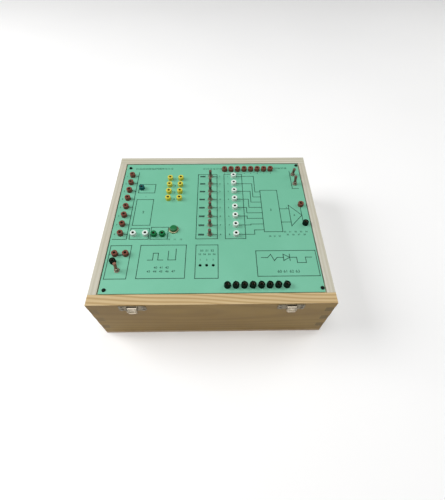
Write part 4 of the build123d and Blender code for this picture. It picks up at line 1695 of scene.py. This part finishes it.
@dataclass
class Fittings:
    """The latches, the hinge halves, the mains inlet and their screws."""

    shop: Workshop
    ease: float = 0.18 * MM
    inlet_ease: float = 0.3 * MM

    def build(self) -> None:
        """Ease and dress each fitting, every moving part on its own body."""
        for node, body, slot, look, ease in (
            # The latch plates' finish is painted shade.
            ("latch_plates", CASE, "latch_metal", SHADED_LATCH_NICKEL, self.ease),
            ("left_latch_lever", "left_latch_arm", "latch_metal", LEVER_NICKEL, self.ease),
            ("right_latch_lever", "right_latch_arm", "latch_metal", LEVER_NICKEL, self.ease),
            ("left_latch_claw", "left_latch_hook", "latch_metal", LEVER_NICKEL, self.ease),
            ("right_latch_claw", "right_latch_hook", "latch_metal", LEVER_NICKEL, self.ease),
            ("hinge_leaves", CASE, "hinge_metal", HINGE_NICKEL, self.ease),
            ("hinge_pins", CASE, "hinge_metal", NICKEL, self.ease),
            ("inlet_body", CASE, "inlet_plastic", INLET_BLACK, self.inlet_ease),
            ("fitting_screws", CASE, "steel_screw", DULL_ZINC, 0.0),
        ):
            self.shop.ease(node, f"{node}_eased", ease, look, body, slot)
        self.shop.dress("latch_pins", NICKEL)
        self.shop.dress("inlet_blades", NICKEL)


@dataclass
class Innards:
    """What stands inside the case."""

    shop: Workshop

    def build(self) -> None:
        """Dress every inner node."""
        for node, look in (
            ("logic_board", BOARD_GREEN),
            ("supply_board", BOARD_GREEN),
            ("board_pillars", PILLAR_BRASS),
            ("board_screws", ZINC),
            ("chips", CHIP_BLACK),
            ("capacitors", CAN_SLEEVE),
            ("heatsink", HEATSINK_BLACK),
            ("regulators", CHIP_BLACK),
            ("transformer_core", CORE_IRON),
            ("transformer_strap", CORE_IRON),
            ("transformer_winding", WINDING_TAPE),
        ):
            self.shop.dress(node, look)


@dataclass
class Studio:
    """The floor, the soft lights and the camera of the photograph."""

    shop: Workshop
    floor_reach: float = 6.0
    floor_drop: float = 0.05 * MM
    sky_tint: Colour = (1.0, 0.97, 0.92)
    sky_strength: float = 0.08
    aim_height: float = 0.08
    camera_place: tuple[float, float, float] = (0.010512, -0.349204, 0.523337)
    azimuth: float = 1.1952
    elevation: float = 55.5216
    roll: float = 0.4848
    focal_pixels: float = 311.688
    frame_height: float = 500.0
    sensor: float = 36.0

    def floor(self) -> None:
        """Lay a plain pale floor under the case."""
        half = self.floor_reach / 2
        mesh = bpy.data.meshes.new("floor")
        corners = [(-half, -half), (half, -half), (half, half), (-half, half)]
        mesh.from_pydata([(x, y, -self.floor_drop) for x, y in corners], [], [(0, 1, 2, 3)])
        floor = new_object("floor", mesh)
        self.shop.paint(floor, Matt("Pale floor", grey(0.96), grey(0.94)))

    def light(self, name: str, place: Sequence[float], power: float, size: float) -> None:
        """Hang a soft white square light that faces the case.

        Args:
            name: The light's name.
            place: Where it hangs, in metres.
            power: Its power in watts.
            size: The length of its side in metres.
        """
        data = bpy.data.lights.new(name, "AREA")
        data.energy, data.size, data.color = power, size, WHITE
        lamp = bpy.data.objects.new(name, data)
        lamp.location = place
        aim = Vector((0, 0, self.aim_height)) - Vector(place)
        lamp.rotation_mode = "QUATERNION"
        lamp.rotation_quaternion = aim.to_track_quat("-Z", "Y")
        bpy.context.scene.collection.objects.link(lamp)

    def sky(self) -> None:
        """Fill the room with even pale light."""
        world = bpy.data.worlds.new("Pale room")
        world.use_nodes = True
        background = world.node_tree.nodes["Background"]
        background.inputs["Color"].default_value = (*self.sky_tint, 1.0)
        background.inputs["Strength"].default_value = self.sky_strength
        bpy.context.scene.world = world

    def camera(self) -> None:
        """Stand the camera where the photograph was taken from."""
        side, down, tip = (math.radians(v) for v in (self.azimuth, self.elevation, self.roll))
        reach = math.cos(down)
        ahead = Vector((math.sin(side) * reach, math.cos(side) * reach, -math.sin(down)))
        level = ahead.cross(Vector((0, 0, 1))).normalized()
        upward = level.cross(ahead)
        right = level * math.cos(tip) + upward * math.sin(tip)
        top = upward * math.cos(tip) - level * math.sin(tip)
        data = bpy.data.cameras.new("Photograph")
        data.sensor_width = self.sensor
        data.lens = self.sensor * self.focal_pixels / self.frame_height
        data.clip_start, data.clip_end = 0.02, 30.0
        eye = bpy.data.objects.new("Photograph", data)
        columns = Matrix((right, top, -ahead)).transposed().to_4x4()
        eye.matrix_world = Matrix.Translation(self.camera_place) @ columns
        bpy.context.scene.collection.objects.link(eye)
        bpy.context.scene.camera = eye

    def build(self) -> None:
        """Set up the floor, the lights and the camera."""
        self.floor()
        self.sky()
        self.light("Key", (-1.8, 0.30, 1.5), 36, 1.3)
        self.light("Top", (0.0, -0.50, 3.0), 54, 1.6)
        self.light("Fill", (1.7, 0.80, 1.4), 12, 1.3)
        self.camera()
        bpy.context.scene.view_settings.view_transform = "Standard"


def main() -> None:
    """Build the classes in order."""
    logging.basicConfig(level=logging.INFO, format="%(name)s: %(message)s")
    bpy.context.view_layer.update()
    shop = Workshop()
    for part in (
        Case(shop),
        Panel(shop),
        Sockets(shop),
        Toggles(shop),
        PushButton(shop),
        Fittings(shop),
        Innards(shop),
        Studio(shop),
    ):
        part.build()
        log.info("%s is done", type(part).__name__)


if __name__ == "__main__":
    main()
